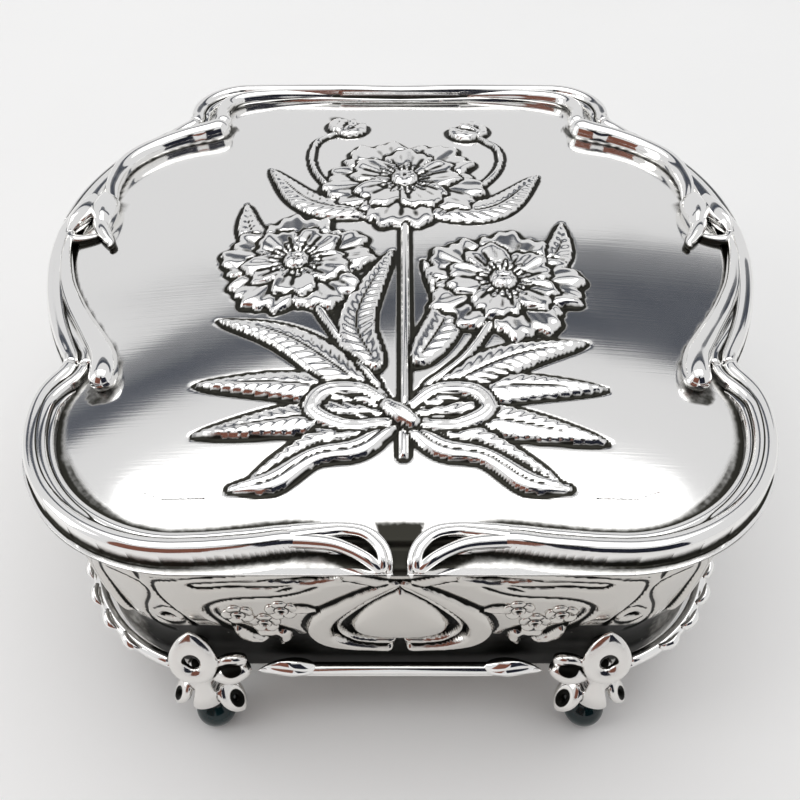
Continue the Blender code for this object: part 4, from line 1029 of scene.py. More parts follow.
def lid_patina_and_shade(made):
    """Patina and painted shade on the field: dark beside the mouldings, widest in the front lobes, and
    greyed over the rolled edge; painted shade along the feet of the rolls, in the channel between the front
    curls and in their eyes.
    """
    place = places_of(made)
    inset, travel = on_edge(place)
    behind = place[:, 1] - FRONT_Y
    front = smoothstep(-20, -50, place[:, 1])
    start = np.maximum(bundle_border(travel, True), 4.8)
    reach = 1.6 + 1.2 * front + 0.6 * smoothstep(45, 60, place[:, 1])
    shade = smoothstep(0, 1, (start + reach - inset) / reach) * (0.46 + 0.40 * front) * (inset > 4.0)
    # Painted shade along the outer foot of the rolls, in front.
    under = smoothstep(1.5, 0.0, bundle_border(travel, False) - inset) * front
    shade = np.maximum(shade, (0.42 + 0.30 * under) * (inset < 4.6))
    channel = smoothstep(1.0, 0.0, np.abs(place[:, 0]) - 0.9 - np.clip(behind - 2.0, 0, 7.0) * 0.42)
    shade = np.maximum(shade, channel * smoothstep(9.8, 7.4, behind) * 0.85)
    for path in (ROLL_PATH, WHIP_PATH):
        shade = np.maximum(shade, beside(place, path, 0.9) * 0.62)
    shade = np.maximum(shade, beside(place, EYE_PATH, 0.5))
    return shade * (place[:, 2] > SEAM_Z + 0.6)


# %% Paths of the rolls that lie on the field
# Each control: x, y and radius on the right side.
ROLL_PATH = [
    (70.2, 7.0, 0.9), (69.3, 1.0, 1.35), (66.6, -8.0, 1.65), (63.2, -15.0, 1.85), (60.2, -20.0, 1.95),
    (57.0, -25.0, 2.15), (54.0, -30.0, 2.35), (52.6, -34.5, 2.5), (52.6, -38.6, 2.3),
]
WHIP_PATH = [
    (62.2, 17.0, 0.4), (63.7, 20.5, 1.1), (64.9, 26.0, 1.8), (64.3, 32.5, 2.1), (61.8, 37.6, 2.25),
    (57.2, 42.0, 2.3), (51.4, 45.0, 2.4), (46.2, 46.4, 2.6), (43.6, 47.6, 2.7), (42.6, 49.4, 2.6),
]
CORNER_PATH = [
    (42.9, 49.4, 2.3), (43.9, 54.0, 2.1), (44.5, 58.5, 1.9), (43.7, 62.6, 1.8), (40.4, 65.6, 1.7),
    (34.0, 67.2, 1.6), (25.0, 67.9, 1.3), (17.0, 68.2, 0.9),
]
# The eye of a front curl, painted dark as shade: x, y and half width.
EYE_PATH = [
    (10.6, FRONT_Y + 6.4, 0.3), (7.8, FRONT_Y + 6.0, 0.9), (5.6, FRONT_Y + 5.1, 1.3),
    (4.0, FRONT_Y + 3.9, 0.9),
]
field = lid_field()
print("field:", len(field.data.vertices), "points")

# %% [markdown]
# ## Mouldings round the lid
# The rim is a bundle of rolls: a thin one at the edge, a fat one, a slimmer one beside it and a
# low one towards the field. In front the fat roll swings inwards, the thin and the slim one dive
# under it, and near the middle all end in strands that part round a dark eye. Each roll is given
# by its distance from the edge, its height and its radius at some places along the edge, and
# the surface is the highest of them at each point, so their creases are true creases.

# %% The rolls of the rim
RIM_ROLLS = [
    # thin, fat, slim and low roll; travel along the edge, inset, height over the shoulder, radius
    [(0, 0.62, -0.9, 0.5), (FRONT_NOTCH - 8, 0.62, -0.9, 0.5), (FRONT_NOTCH, 0.62, 0.60, 0.60),
     (HALF_EDGE, 0.62, 0.80, 0.60)],
    [(0, 2.0, -1.6, 0.5), (8, 4.2, -1.0, 0.9), (13, 5.0, 1.2, 1.3), (17, 4.75, 2.30, 1.50),
     (22, 3.85, 2.35, 1.50), (30, 3.10, 2.40, 1.50), (37, 2.95, 2.40, 1.50), (50, 2.60, 2.40, 1.45),
     (64, 2.25, 2.40, 1.35), (FRONT_NOTCH - 6, 2.10, 2.40, 1.50), (FRONT_NOTCH, 2.15, 2.1, 1.45),
     (FRONT_NOTCH + 6, 2.0, 2.3, 1.55), (BUD_AT - 16, 2.0, 2.2, 1.5), (BUD_AT - 4, 1.9, 1.6, 1.3),
     (BUD_AT + 1, 2.2, 0.3, 1.8), (BUD_AT + 7, 2.8, -0.9, 2.7), (BACK_NOTCH - 8, 2.8, -0.7, 2.7),
     (BACK_NOTCH - 2, 2.4, 0.9, 1.8), (BACK_NOTCH + 5, 2.1, 1.9, 1.6), (HALF_EDGE - 16, 2.2, 2.2, 1.7),
     (HALF_EDGE, 2.4, 2.0, 1.6)],
    [(0, 4.2, -1.6, 0.5), (44, 4.2, -0.4, 0.7), (52, 3.70, 2.0, 1.15), (66, 3.60, 2.20, 1.20),
     (FRONT_NOTCH - 9, 3.50, 2.20, 1.25), (FRONT_NOTCH - 2.5, 4.6, 2.0, 1.15),
     (FRONT_NOTCH + 2.5, 4.6, 1.9, 1.0), (FRONT_NOTCH + 8, 3.9, 1.8, 0.85),
     (FRONT_NOTCH + 14, 3.3, 1.4, 0.8), (BUD_AT - 8, 3.2, 0.9, 0.8), (BUD_AT, 3.2, -0.8, 0.5),
     (BACK_NOTCH - 4, 3.6, -0.8, 0.5),
     (BACK_NOTCH + 2, 4.2, 0.9, 1.0), (BACK_NOTCH + 8, 4.0, 1.1, 1.0), (HALF_EDGE - 20, 3.9, 0.6, 0.9),
     (HALF_EDGE, 3.9, 0.3, 0.8)],
    [(0, 5.0, -1.6, 0.4), (9, 6.4, -0.8, 0.6), (14, 6.85, 1.30, 0.95), (18, 6.55, 1.65, 1.10),
     (22, 5.90, 1.65, 1.15), (30, 5.05, 1.70, 1.15), (37, 4.85, 1.70, 1.15), (50, 5.0, 1.60, 1.05),
     (64, 4.90, 1.55, 0.95), (FRONT_NOTCH - 10, 4.80, 1.50, 0.90), (FRONT_NOTCH - 4, 5.5, 1.0, 0.6),
     (FRONT_NOTCH + 2, 5.4, -0.8, 0.4), (HALF_EDGE, 4.6, -0.8, 0.4)],
]
RIM_WIDTH = 8.4
RIM_SINK = -0.15


def roll_at(controls, travel):
    """Inset, height and radius of a roll at distances along the edge, its corners eased."""
    table = np.array(controls)
    fine = np.arange(-6, HALF_EDGE + 6, 0.5)
    window = np.hanning(13)
    window /= window.sum()
    values = []
    for column in (1, 2, 3):
        raw = np.interp(fine, table[:, 0], table[:, column])
        values.append(np.interp(travel, fine[6:-6], np.convolve(raw, window, "valid")))
    return values


def rim_height(travel, inset):
    """The highest roll over each place of the rim, over the lid's shoulder."""
    top = np.full(np.broadcast(travel, inset).shape, RIM_SINK)
    for controls in RIM_ROLLS:
        centre, height, radius = roll_at(controls, travel)
        room = radius ** 2 - (inset - centre) ** 2
        top = np.maximum(top, np.where(room > 0, height + np.sqrt(np.clip(room, 0, None)), RIM_SINK))
    return top


def rim_rows(travel, side):
    """Closed sections of the rim at distances along the edge."""
    inset = np.concatenate([np.linspace(0.02, 0.5, 9)[:-1], np.linspace(0.5, RIM_WIDTH, 66)])
    s, u = np.meshgrid(travel, inset, indexing="ij")
    top = rim_height(s, u)
    rows = solid_points(along(s, u, side), SHOULDER_Z + top)
    under = [solid_points(along(travel, depth, side), SHOULDER_Z + RIM_SINK - 0.3)[:, None]
             for depth in (RIM_WIDTH, 0.3)]
    return np.concatenate([rows] + under, axis=1)


def stops(start, end, pitch=0.4):
    """Evenly spaced distances from one to another."""
    return np.linspace(start, end, max(2, round((end - start) / pitch)) + 1)


# %% Scrolls, curls and buds
RIM_START = 1.0
CURL_STRANDS = [
    # the roll over the dark eye, the roll under it, the low roll beside the channel:
    # x, distance behind the front edge, height over the shoulder, radius
    [(22.0, 4.1, 2.2, 1.2), (17.5, 4.9, 2.4, 1.15), (13.0, 5.6, 2.55, 0.98), (9.4, 6.1, 2.5, 0.90),
     (6.6, 5.9, 2.45, 0.84), (4.8, 5.1, 2.3, 0.82), (3.4, 3.7, 2.05, 0.82), (2.7, 2.4, 1.7, 0.82),
     (2.5, 1.4, 1.2, 0.84), (2.6, 0.85, 0.5, 0.84), (2.75, 0.65, 0.0, 0.70)],
    [(22.0, 3.8, 2.1, 1.2), (17.5, 4.6, 2.1, 1.25), (13.0, 4.4, 2.2, 1.2), (9.8, 3.9, 2.15, 1.08),
     (7.2, 2.9, 2.0, 1.0), (5.2, 1.9, 1.6, 0.97), (3.9, 1.2, 1.0, 0.95), (3.1, 0.85, 0.4, 0.90),
     (2.7, 0.7, -0.1, 0.8)],
    [(22.0, 5.9, 1.5, 0.9), (17.5, 6.7, 1.6, 0.95), (13.0, 7.1, 1.8, 0.88), (9.4, 7.3, 1.85, 0.80),
     (6.2, 7.0, 1.85, 0.72), (4.1, 6.1, 1.75, 0.64), (2.6, 4.6, 1.6, 0.56), (1.75, 3.0, 1.35, 0.50),
     (1.45, 1.7, 0.95, 0.46), (1.5, 0.8, 0.3, 0.44), (1.65, 0.5, -0.6, 0.42), (1.75, 0.5, -1.6, 0.38)],
]


def field_top(plan):
    """Height of the lid's field under plan points."""
    return FIELD_Z + pillow(plan[..., 0], plan[..., 1])


def curl_bars(side):
    """Strands that part round a dark eye at the middle of the front."""
    return [bar([(side * x, FRONT_Y + back, SHOULDER_Z + height, radius)
                 for x, back, height, radius in strand], sides=26) for strand in CURL_STRANDS]


def plan_path(controls, side):
    """Turn (x, y, radius) controls into places in space, sunk a little into the field."""
    path = []
    for x, y, radius in controls:
        plan = np.array([side * x, y])
        path.append((*plan, float(field_top(plan)) + radius * 0.55, radius))
    return path


def leaf_shell(tip, root, width, thick, lift, fold, rows=40, sides=30):
    """A closed leaf from root to tip: pointed, ridged along its middle and bowed upwards."""
    root, tip = np.array(root, float), np.array(tip, float)
    ahead = tip - root
    length = np.linalg.norm(ahead)
    ahead /= length
    square = np.cross(ahead, (0, 0, 1))
    square /= np.linalg.norm(square)
    up = np.cross(square, ahead)
    angle = np.linspace(0, math.tau, sides, endpoint=False)
    made = []
    for share in (1 - np.cos(np.linspace(0, math.pi, rows))) / 2:
        half = width * math.sin(math.pi * share ** 0.62) ** 0.75 if 0 < share < 1 else 0.0
        spot = root + ahead * share * length + up * lift * math.sin(math.pi * share)
        across = np.cos(angle)
        ridge = np.where(np.sin(angle) > 0, 1 + fold * (1 - np.abs(across)) ** 1.5, 1.0)
        depth = thick * np.sin(angle) * ridge * min(1.0, half / width * 1.6)
        made.append(spot + np.outer(across * half, square) + np.outer(depth, up))
    return np.array(made)


# The inner bud's hooked tip and the lap round the cup's foot: x, y, lift over the field, radius.
BUD_HOOK = [(64.6, 12.0, 1.3, 1.7), (63.0, 8.0, 1.4, 1.6), (61.4, 5.2, 1.1, 1.2), (60.2, 3.4, 0.8, 0.8),
            (60.4, 2.0, 0.5, 0.5)]
BUD_LAP = [(70.6, 9.0, 0.6, 1.3), (69.2, 6.6, 0.5, 1.2), (66.0, 6.4, 0.3, 1.1), (63.4, 7.0, 0.3, 0.9)]


def bud_skins(side):
    """An outer leaf cup and an inner pointed bud whose tip curls over to the front."""
    def spot(x, y, lift):
        plan = np.array([side * x, y])
        return (*plan, float(field_top(plan)) + lift)

    cup = leaf_shell(spot(70.9, 6.6, 0.4), spot(67.2, 21.0, 0.4), 2.5, 2.0, 1.0, fold=0.25)
    inner = leaf_shell(spot(62.6, 6.8, 0.6), spot(65.2, 21.0, 0.4), 3.1, 2.1, 1.2, fold=0.25)
    hook, lap = [bar([(*spot(x, y, lift), radius) for x, y, lift, radius in line], sides=sides)
                 for line, sides in ((BUD_HOOK, 24), (BUD_LAP, 20))]
    return [cup, inner, hook, lap]


def bud_shade(made):
    """Painted shade under the bud, standing in for the dark reflection below it, and in the cleft where its
    two lobes part over the rim.
    """
    x, y, z = places_of(made).T
    plan = np.stack([np.abs(x), y], axis=-1)
    low = smoothstep(1.7, 0.5, z - field_top(plan)) * smoothstep(10.0, 7.0, y)
    cleft = ((np.abs(x) - 67.0) / 1.5) ** 2 + ((y - 8.6) / 2.0) ** 2
    return np.maximum(low, smoothstep(1.2, 0.5, cleft))


# %% Laying the mouldings
def curl_eye_shade(made):
    """Painted shade low on the strands that face a front curl's eye."""
    place = places_of(made)
    return beside(place, EYE_PATH, 0.5) * smoothstep(2.3, 1.4, place[:, 2] - SHOULDER_Z)


FLIP = np.array([-1, 1, 1])


def front_whole(half, flip=FLIP):
    """A front from its left end to its right end, made of its right half."""
    return np.concatenate([(half * flip)[::-1], half[1:]])


def back_whole(half, flip=FLIP):
    """A back from its right end to its left end, made of its right half."""
    return np.concatenate([half, (half * flip)[::-1][1:]])


# The field's stored dark is patina near the mouldings and painted shade along the rolls' feet and in the
# front curls.
cast(field, "lid", "lid_shell", paint=FIELD_SILVER, extra=lid_patina_and_shade(field))
for hand, side in (("right", 1), ("left", -1)):
    front = joined("rim_front_" + hand, [rim_rows(stops(RIM_START, FRONT_NOTCH), side)] + curl_bars(side))
    # Painted shade in the curls' eyes is stored with the rim's hollows.
    cast(front, "lid", "lid_rim_front_" + hand, extra=curl_eye_shade(front), **CREASED)
    rim = joined("rim_side_" + hand, [rim_rows(stops(FRONT_NOTCH, BUD_AT + 1), side)])
    cast(rim, "lid", "lid_rim_side_" + hand, **CREASED)
    roll = joined("roll_" + hand, [bar(plan_path(ROLL_PATH, side), sides=36)])
    cast(roll, "lid", "lid_roll_" + hand)
    whip = joined("whiplash_" + hand, [rim_rows(stops(BUD_AT + 1, BACK_NOTCH), side),
                                       bar(plan_path(WHIP_PATH, side), sides=36)])
    cast(whip, "lid", "lid_whiplash_" + hand, **CREASED)
    bud = joined("bud_" + hand, bud_skins(side))
    # The bud's underside and cleft are painted dark as shade.
    cast(bud, "lid", "lid_bud_" + hand, extra=bud_shade(bud))

corners = [bar(plan_path(CORNER_PATH, side), sides=32) for side in (-1, 1)]
rim = joined("rim_back", [back_whole(rim_rows(stops(BACK_NOTCH, HALF_EDGE), 1))] + corners)
cast(rim, "lid", "lid_rim_back", **CREASED)

# %% [markdown]
# ## The wall
# The wall is a cast relief: a pale sheet drawn in towards its foot, where it ends over a deep
# hollow whose black is painted shade. A drop framed by bands stands in the middle of the front,
# long slits run off from it under the rim, and blossoms hang in the panels beside it. The same
# tools that drew the spray draw the wall, on a sheet that is measured along the edge and up
# from the table, and the sheet is then wrapped round the outline. Its slits, grooves and low
# ground are painted dark too, as patina and painted shade.

# %% Sections of the wall
GROUND_INSET = 5.3
WALL_PITCH = 0.28
SIDE_PITCH = 0.32
INNER_INSET = 6.4
LIP_INSET = 8.4
LIP_THICK = 1.4
SIDE_SCALE = 0.86
WALL_PROFILE = [
    # height above the table, and how far the plain wall stands out from the deep hollow
    (wall_low[2], 0.50), (25.6, 0.50), (29.4, 0.0), (32.0, 0.22), (34.6, 0.77), (37.0, 1.10),
    (43.1, 1.42), (52.05, 1.98), (wall_high[2], 2.70),
]


def plain_wall(height):
    """How far the plain wall stands out at a height, its corners eased."""
    levels, stands = np.array(WALL_PROFILE).T
    return np.mean([np.interp(height + shift, levels, stands) for shift in (-0.9, -0.3, 0.3, 0.9)], axis=0)


def wall_rows(travel, heights, stand):
    """Closed wall sections whose outer face stands out by the relief."""
    s, z = np.meshgrid(travel, heights, indexing="ij")
    face = solid_points(along(s, GROUND_INSET - stand), z)
    inside = [(LIP_INSET, wall_low[2]), (LIP_INSET, wall_low[2] + LIP_THICK),
              (INNER_INSET, wall_low[2] + LIP_THICK), (INNER_INSET, wall_high[2])]
    back = [solid_points(along(travel, inset), level)[:, None] for inset, level in inside]
    return np.concatenate([face] + back, axis=1)


# %% Forms of the wall
# Places on a wall's sheet: millimetres along its foot from the middle, height above the table.
DROP_MIDDLE = 39.5
DROP = [(0.0, 49.3), (2.9, 46.0), (6.2, 41.8), (8.1, 38.2), (7.3, 35.6), (4.2, 34.1), (0.0, 33.7)]
STRAND = [(0.2, 50.9, 0.42), (3.0, 48.4, 0.42), (6.4, 44.6, 0.42), (9.7, 40.2, 0.45), (10.6, 36.8, 0.45),
          (8.8, 33.6, 0.45), (4.6, 32.4, 0.42), (0.8, 32.3, 0.40)]
BAND = [(0.7, 52.6, 0.9), (5.2, 49.0, 1.3), (9.2, 45.0, 1.7), (12.6, 40.8, 2.2), (14.0, 36.8, 2.3),
        (12.6, 33.2, 1.8), (8.6, 31.4, 1.4), (2.2, 30.9, 1.3)]
YOKE = [(1.6, 52.4, 1.2), (7.0, 54.6, 1.2), (14.0, 56.4, 0.9), (24.0, 56.9, 0.75), (36.0, 57.0, 0.65),
        (46.0, 57.0, 0.5)]
DROP_GROOVE = [(0.0, 50.2, 0.2), (3.0, 47.2, 0.36), (6.4, 43.0, 0.40), (8.9, 38.6, 0.42), (8.6, 35.6, 0.42),
               (5.4, 33.8, 0.4), (0.0, 33.3, 0.3)]
UPPER_SLIT = [(22.4, 53.5, 0.12), (18.6, 53.6, 0.60), (14.8, 53.6, 1.10), (11.2, 54.3, 0.95),
              (9.4, 55.1, 0.30)]
LIP_LINES = [
    # over the upper slit, under it, and the loop and strokes below
    [(40.6, 53.4, 0.20), (34.0, 54.3, 0.24), (29.0, 54.8, 0.40), (24.0, 55.5, 0.28), (18.3, 56.2, 0.2),
     (10.6, 57.0, 0.15)],
    [(20.5, 53.3, 0.12), (16.5, 52.4, 0.26), (13.2, 52.3, 0.26), (9.7, 53.0, 0.22), (6.2, 54.2, 0.15)],
    [(17.1, 52.4, 0.12), (20.5, 53.0, 0.18), (26.3, 53.2, 0.20), (30.2, 52.9, 0.24), (33.0, 52.4, 0.32),
     (34.0, 51.7, 0.40), (33.2, 50.9, 0.44), (30.5, 50.8, 0.42), (27.5, 51.3, 0.36), (23.6, 51.0, 0.46),
     (20.7, 50.9, 0.46), (18.3, 51.4, 0.34), (15.9, 52.3, 0.12)],
    [(20.8, 49.6, 0.12), (18.5, 50.2, 0.40), (16.8, 51.4, 0.12)],
    [(15.8, 49.6, 0.12), (14.4, 50.4, 0.32), (13.2, 51.6, 0.12)],
]
PANEL_CURL = [(12.6, 51.6, 0.12), (17.0, 48.9, 0.30), (20.1, 47.8, 0.30), (23.1, 47.5, 0.30),
              (28.4, 46.7, 0.34), (31.5, 44.9, 0.44), (32.6, 42.6, 0.50), (32.0, 39.8, 0.44),
              (30.3, 36.4, 0.44), (28.6, 34.2, 0.40)]
INNER_CURL = [(30.6, 44.4, 0.15), (31.0, 42.2, 0.34), (30.0, 39.2, 0.34), (28.2, 36.6, 0.30)]
BLOSSOMS = [(27.4, 41.8), (19.9, 43.4), (23.2, 38.7)]
BLOSSOM_R = 2.9
LEAVES = [[(28.4, 37.0), (26.8, 33.8), (23.0, 31.6)], [(25.0, 35.2), (22.2, 35.8), (19.6, 33.6)],
          [(20.4, 36.0), (20.0, 33.0), (21.6, 30.6)], [(18.4, 43.2), (16.2, 43.6), (13.6, 42.8)]]
WHIP_LINES = [
    # long lines that run down beside a foot, and a ring round an eye
    [(33.0, 53.8, 0.12), (37.0, 53.2, 0.26), (40.2, 52.2, 0.34), (41.2, 49.6, 0.36), (40.8, 46.4, 0.36),
     (39.4, 43.0, 0.38), (37.6, 39.4, 0.42), (36.0, 36.6, 0.46)],
    [(51.4, 50.6, 0.15), (47.6, 51.2, 0.28), (44.6, 50.6, 0.36), (43.0, 48.6, 0.38), (43.4, 45.4, 0.36),
     (45.4, 41.0, 0.36), (46.2, 36.8, 0.40), (44.4, 33.6, 0.42), (41.4, 32.6, 0.3)],
    [(43.9, 40.6, 0.15), (41.0, 42.8, 0.28), (38.6, 41.2, 0.32), (37.6, 38.8, 0.32), (38.6, 37.0, 0.32),
     (41.6, 36.2, 0.34), (44.0, 37.6, 0.2)],
    [(42.6, 38.6, 0.4), (40.9, 39.6, 0.9), (39.7, 39.2, 0.4)],
]
WEDGE = [(43.8, 55.2, 1.3), (43.7, 53.0, 0.8), (43.6, 50.4, 0.2)]


def mirrored(points, side):
    """Controls of the right half, moved to one side."""
    return [(side * point[0], *point[1:]) for point in points]


def cartouche(relief):
    """A mirror drop, a fine line round it and a broad band on each side whose feet turn in."""
    for side in (-1, 1):
        relief.strap(mirrored(YOKE, side), 2.6, chased=0.35)
        relief.strap(mirrored(BAND, side), 2.5, chased=0.5)
    for side in (-1, 1):
        relief.rib(mirrored(STRAND, side), 1.35, 0.75, chased=1.2)
    half = [tuple(point) for point in smooth_line(DROP, 0.5)]
    outline_points = half + [(-x, z) for x, z in reversed(half[1:-1])]
    relief.panel(outline_points, (0.0, DROP_MIDDLE), 1.95, 0.35)
    for side in (-1, 1):
        relief.cut(mirrored(DROP_GROOVE, side), 1.5)


def slits(relief, side):
    """A black slit near the rim, and the fine lines that run off from it."""
    relief.cut(mirrored(UPPER_SLIT, side), 3.2)
    for line in LIP_LINES:
        relief.cut(mirrored(line, side), 1.25)


def panel_lines(relief, side):
    """The curl that frames the blossoms, and the leaves under them."""
    for line in (PANEL_CURL, INNER_CURL):
        relief.cut(mirrored(line, side), 1.25)
    for leaf in LEAVES:
        relief.leaf(mirrored(leaf, side), 1.2, 1.0, 1.1, veins=0.1)


def whips(relief, side, shift=0.0):
    """S-shaped lines with an eye loop, as they run down beside a foot or a notch."""
    for line in WHIP_LINES:
        relief.cut(mirrored([(x - shift, z, half) for x, z, half in line], side), 1.25)
    relief.cut(mirrored([(x - shift, z, half) for x, z, half in WEDGE], side), 0.45)


def lobe_lines(relief, side):
    """Slits, hooked lines and blades that wrap the rounded corner towards the notch."""
    for shift, drop in ((0.0, 0.0), (16.0, 1.0), (30.0, 0.5)):
        blade = [(53.0 + shift, 53.4 - drop), (56.5 + shift, 47.0), (54.5 + shift, 40.0),
                 (50.5 + shift, 35.0)]
        relief.leaf(mirrored(blade, side), 2.2, 1.35, 0.85, veins=0.0, skew=0.8)
        hook = [(58.0 + shift, 53.0, 0.2), (61.0 + shift, 48.0, 0.32), (60.0 + shift, 42.5, 0.34),
                (57.0 + shift, 38.6, 0.3), (58.4 + shift, 36.4, 0.3)]
        relief.cut(mirrored(hook, side), 0.9)
    for start, level in ((60.0, 54.6), (79.0, 53.8)):
        slit = [(start, level, 0.15), (start + 5, level + 0.3, 0.7), (start + 11, level + 0.4, 0.6),
                (start + 16, level + 0.3, 0.15)]
        relief.cut(mirrored(slit, side), 2.2)


def front_forms(relief):
    """The drop, then slits, blossom panels, whip lines and lobe lines on both sides."""
    cartouche(relief)
    for side in (-1, 1):
        slits(relief, side)
        panel_lines(relief, side)
        whips(relief, side)
        lobe_lines(relief, side)


def side_forms(relief):
    """A drop in the middle of a side, slits off it and S lines at its ends."""
    cartouche(relief)
    for side in (-1, 1):
        slits(relief, side)
        whips(relief, side, shift=7.0)


def back_forms(relief):
    """The front's drop again; the slits start outside the hinge."""
    cartouche(relief)
    slit = [(24.0, 52.4, 0.2), (29.0, 52.6, 0.8), (34.0, 52.4, 0.6), (37.0, 52.0, 0.2)]
    for side in (-1, 1):
        relief.cut(mirrored(slit, side), 2.4)
        panel_lines(relief, side)


# %% The four walls
# The wall's silver is darker in tone than the lid's: partly its duller aged face, partly painted shade for
# the darker surroundings it mirrors.
WALL_TONE = (0.67, 0.65, 0.615)
WALL_PATINA_AND_SHADE = (0.008, 0.008, 0.007)
WALL_SILVER = silver("polished_silver_wall", gloss=0.15, scratches=0.10, waves=0.00004, tone=WALL_TONE,
                     patina_and_shade=WALL_PATINA_AND_SHADE)
SIDE_MIDDLE = (FRONT_NOTCH + BACK_NOTCH) / 2
# The foot line of a wall swells up and down: place, width and rise of each swell.
SWELLS = [(34.0, 7.0, 2.2), (18.0, 6.0, -1.0)]


def foot_swell(x, z):
    """How far the wall's foot line is shifted up at places on the sheet."""
    rise = sum(up * np.exp(-((np.abs(x) - middle) / wide) ** 2) for middle, wide, up in SWELLS)
    return rise * smoothstep(44.0, 36.0, z) * smoothstep(27.0, 30.0, z)


def eased(sheet):
    """A sheet of heights with its sharpest steps averaged away, its border kept."""
    for _ in range(2):
        middle = sheet.copy()
        middle[1:-1] = (sheet[:-2] + 2 * sheet[1:-1] + sheet[2:]) / 4
        sheet = middle.copy()
        sheet[:, 1:-1] = (middle[:, :-2] + 2 * middle[:, 1:-1] + middle[:, 2:]) / 4
    return sheet


def wall_part(travel, middle, scale, draw, pitch):
    """Rows of one stretch of wall and how dark each of their points is painted, as patina and painted shade.
    """
    heights = np.linspace(wall_high[2], wall_low[2], round((wall_high[2] - wall_low[2]) / pitch) + 1)
    s, z = np.meshgrid(travel, heights, indexing="ij")
    relief = Relief((s - middle) / scale, z)
    relief.height = plain_wall(relief.y - foot_swell(relief.x, relief.y))
    draw(relief)
    calm = smoothstep(wall_high[2], wall_high[2] - 0.5, relief.y) * smoothstep(23.5, 25.5, relief.y)
    relief.height = plain_wall(relief.y) * (1 - calm) + relief.height * calm
    stand = eased(np.clip(relief.height, -0.4, 3.3).reshape(s.shape))
    fallen = plain_wall(z) - stand
    # Painted dark as patina and painted shade: the low ground of the relief and the deep hollow at the foot,
    # a little less in the front lobes, and every place chased down below the plain wall.
    lobe = smoothstep(44.0, 52.0, s) * (s < FRONT_NOTCH)
    ground = smoothstep(1.0, 0.45, stand) * (1 - 0.45 * lobe)
    dark = np.maximum(ground, smoothstep(0.6, 1.2, fallen)) * smoothstep(wall_low[2], wall_low[2] + 0.6, z)
    return wall_rows(travel, heights, stand), np.concatenate([dark, np.zeros((len(travel), 4))], axis=1)


def build_wall(name, rows, dark):
    """A closed piece of wall with its dark ground, painted as patina and painted shade."""
    made = joined(name, [rows])
    known = {tuple(np.round(point, 3)): value for point, value in zip(rows.reshape(-1, 3), dark.ravel())}
    extra = np.array([known.get(tuple(point), 0.0) for point in np.round(places_of(made), 3)])
    cast(made, "body", "body_shell", paint=WALL_SILVER, passes=8, depth=0.06, extra=extra)


rows, dark = wall_part(stops(0, FRONT_NOTCH, WALL_PITCH), 0.0, 1.0, front_forms, WALL_PITCH)
build_wall("wall_front", front_whole(rows), front_whole(dark, 1))
rows, dark = wall_part(stops(BACK_NOTCH, HALF_EDGE, SIDE_PITCH), HALF_EDGE, 1.0, back_forms, SIDE_PITCH)
build_wall("wall_back", back_whole(rows), back_whole(dark, 1))
travel = stops(FRONT_NOTCH, BACK_NOTCH, SIDE_PITCH)
rows, dark = wall_part(travel, SIDE_MIDDLE, SIDE_SCALE, side_forms, SIDE_PITCH)
build_wall("wall_right", rows, dark)
build_wall("wall_left", rows * FLIP, dark)

# %% [markdown]
# ## Small castings repeated: blossoms and scallops
# Six blossoms of one pattern hang in the front panels, and a row of small scallop leaves runs
# along the foot of the sides. Repeats like these are one master shape set on a list of spots,
# which is what Geometry Nodes is for: each spot carries its own turn and size as attributes,
# and the tree places, joins and paints the copies.

# %% The scatter tree
def scatter_tree(name, master, paint):
    """A node group that puts turned and sized copies of a master on the points of a mesh."""
    tree = bpy.data.node_groups.new(name, "GeometryNodeTree")
    tree.interface.new_socket("Geometry", in_out="INPUT", socket_type="NodeSocketGeometry")
    tree.interface.new_socket("Geometry", in_out="OUTPUT", socket_type="NodeSocketGeometry")
    bench = Bench(tree)
    spots = bench.node("NodeGroupInput")
    shape = bench.node("GeometryNodeObjectInfo", inputs={"Object": master}, output="Geometry")
    turn = bench.node("GeometryNodeInputNamedAttribute", {"data_type": "FLOAT_VECTOR"}, {"Name": "turn"})
    size = bench.node("GeometryNodeInputNamedAttribute", {"data_type": "FLOAT"}, {"Name": "size"})
    copies = bench.node("GeometryNodeInstanceOnPoints", inputs={
        "Points": spots, "Instance": shape, "Rotation": turn, "Scale": size})
    real = bench.node("GeometryNodeRealizeInstances", inputs={0: copies})
    painted = bench.node("GeometryNodeSetMaterial", inputs={"Geometry": real, "Material": paint})
    end = tree.nodes.new("NodeGroupOutput")
    bench.feed(end.inputs[0], painted)
    return tree


def baked_mesh(made):
    """What an object's modifiers make, as a mesh of its own."""
    return bpy.data.meshes.new_from_object(made.evaluated_get(bpy.context.evaluated_depsgraph_get()))


def scattered(name, master, spots, turns, sizes, paint):
    """Baked copies of a master on spots in millimetres, each with its own turn and size."""
    mesh = bpy.data.meshes.new(name + "_spots")
    mesh.from_pydata((np.asarray(spots) * MM).tolist(), [], [])
    layer = mesh.attributes.new("turn", "FLOAT_VECTOR", "POINT")
    layer.data.foreach_set("vector", np.asarray(turns, dtype=np.float32).ravel())
    layer = mesh.attributes.new("size", "FLOAT", "POINT")
    layer.data.foreach_set("value", np.asarray(sizes, dtype=np.float32))
    guide = new_object(name + "_spots", mesh)
    guide.modifiers.new("scatter", "NODES").node_group = scatter_tree(name + "_tree", master, paint)
    baked = baked_mesh(guide)
    baked.name = name
    bpy.data.objects.remove(guide, do_unlink=True)
    bpy.data.objects.remove(master, do_unlink=True)
    return new_object(name, baked)


def turn_to(out, spin=0.0):
    """Euler angles that face a master's +Z outwards, after a spin about that way."""
    facing = Vector((*out, 0.0)).normalized()
    return (Quaternion(facing, spin) @ facing.to_track_quat("Z", "Y")).to_euler()


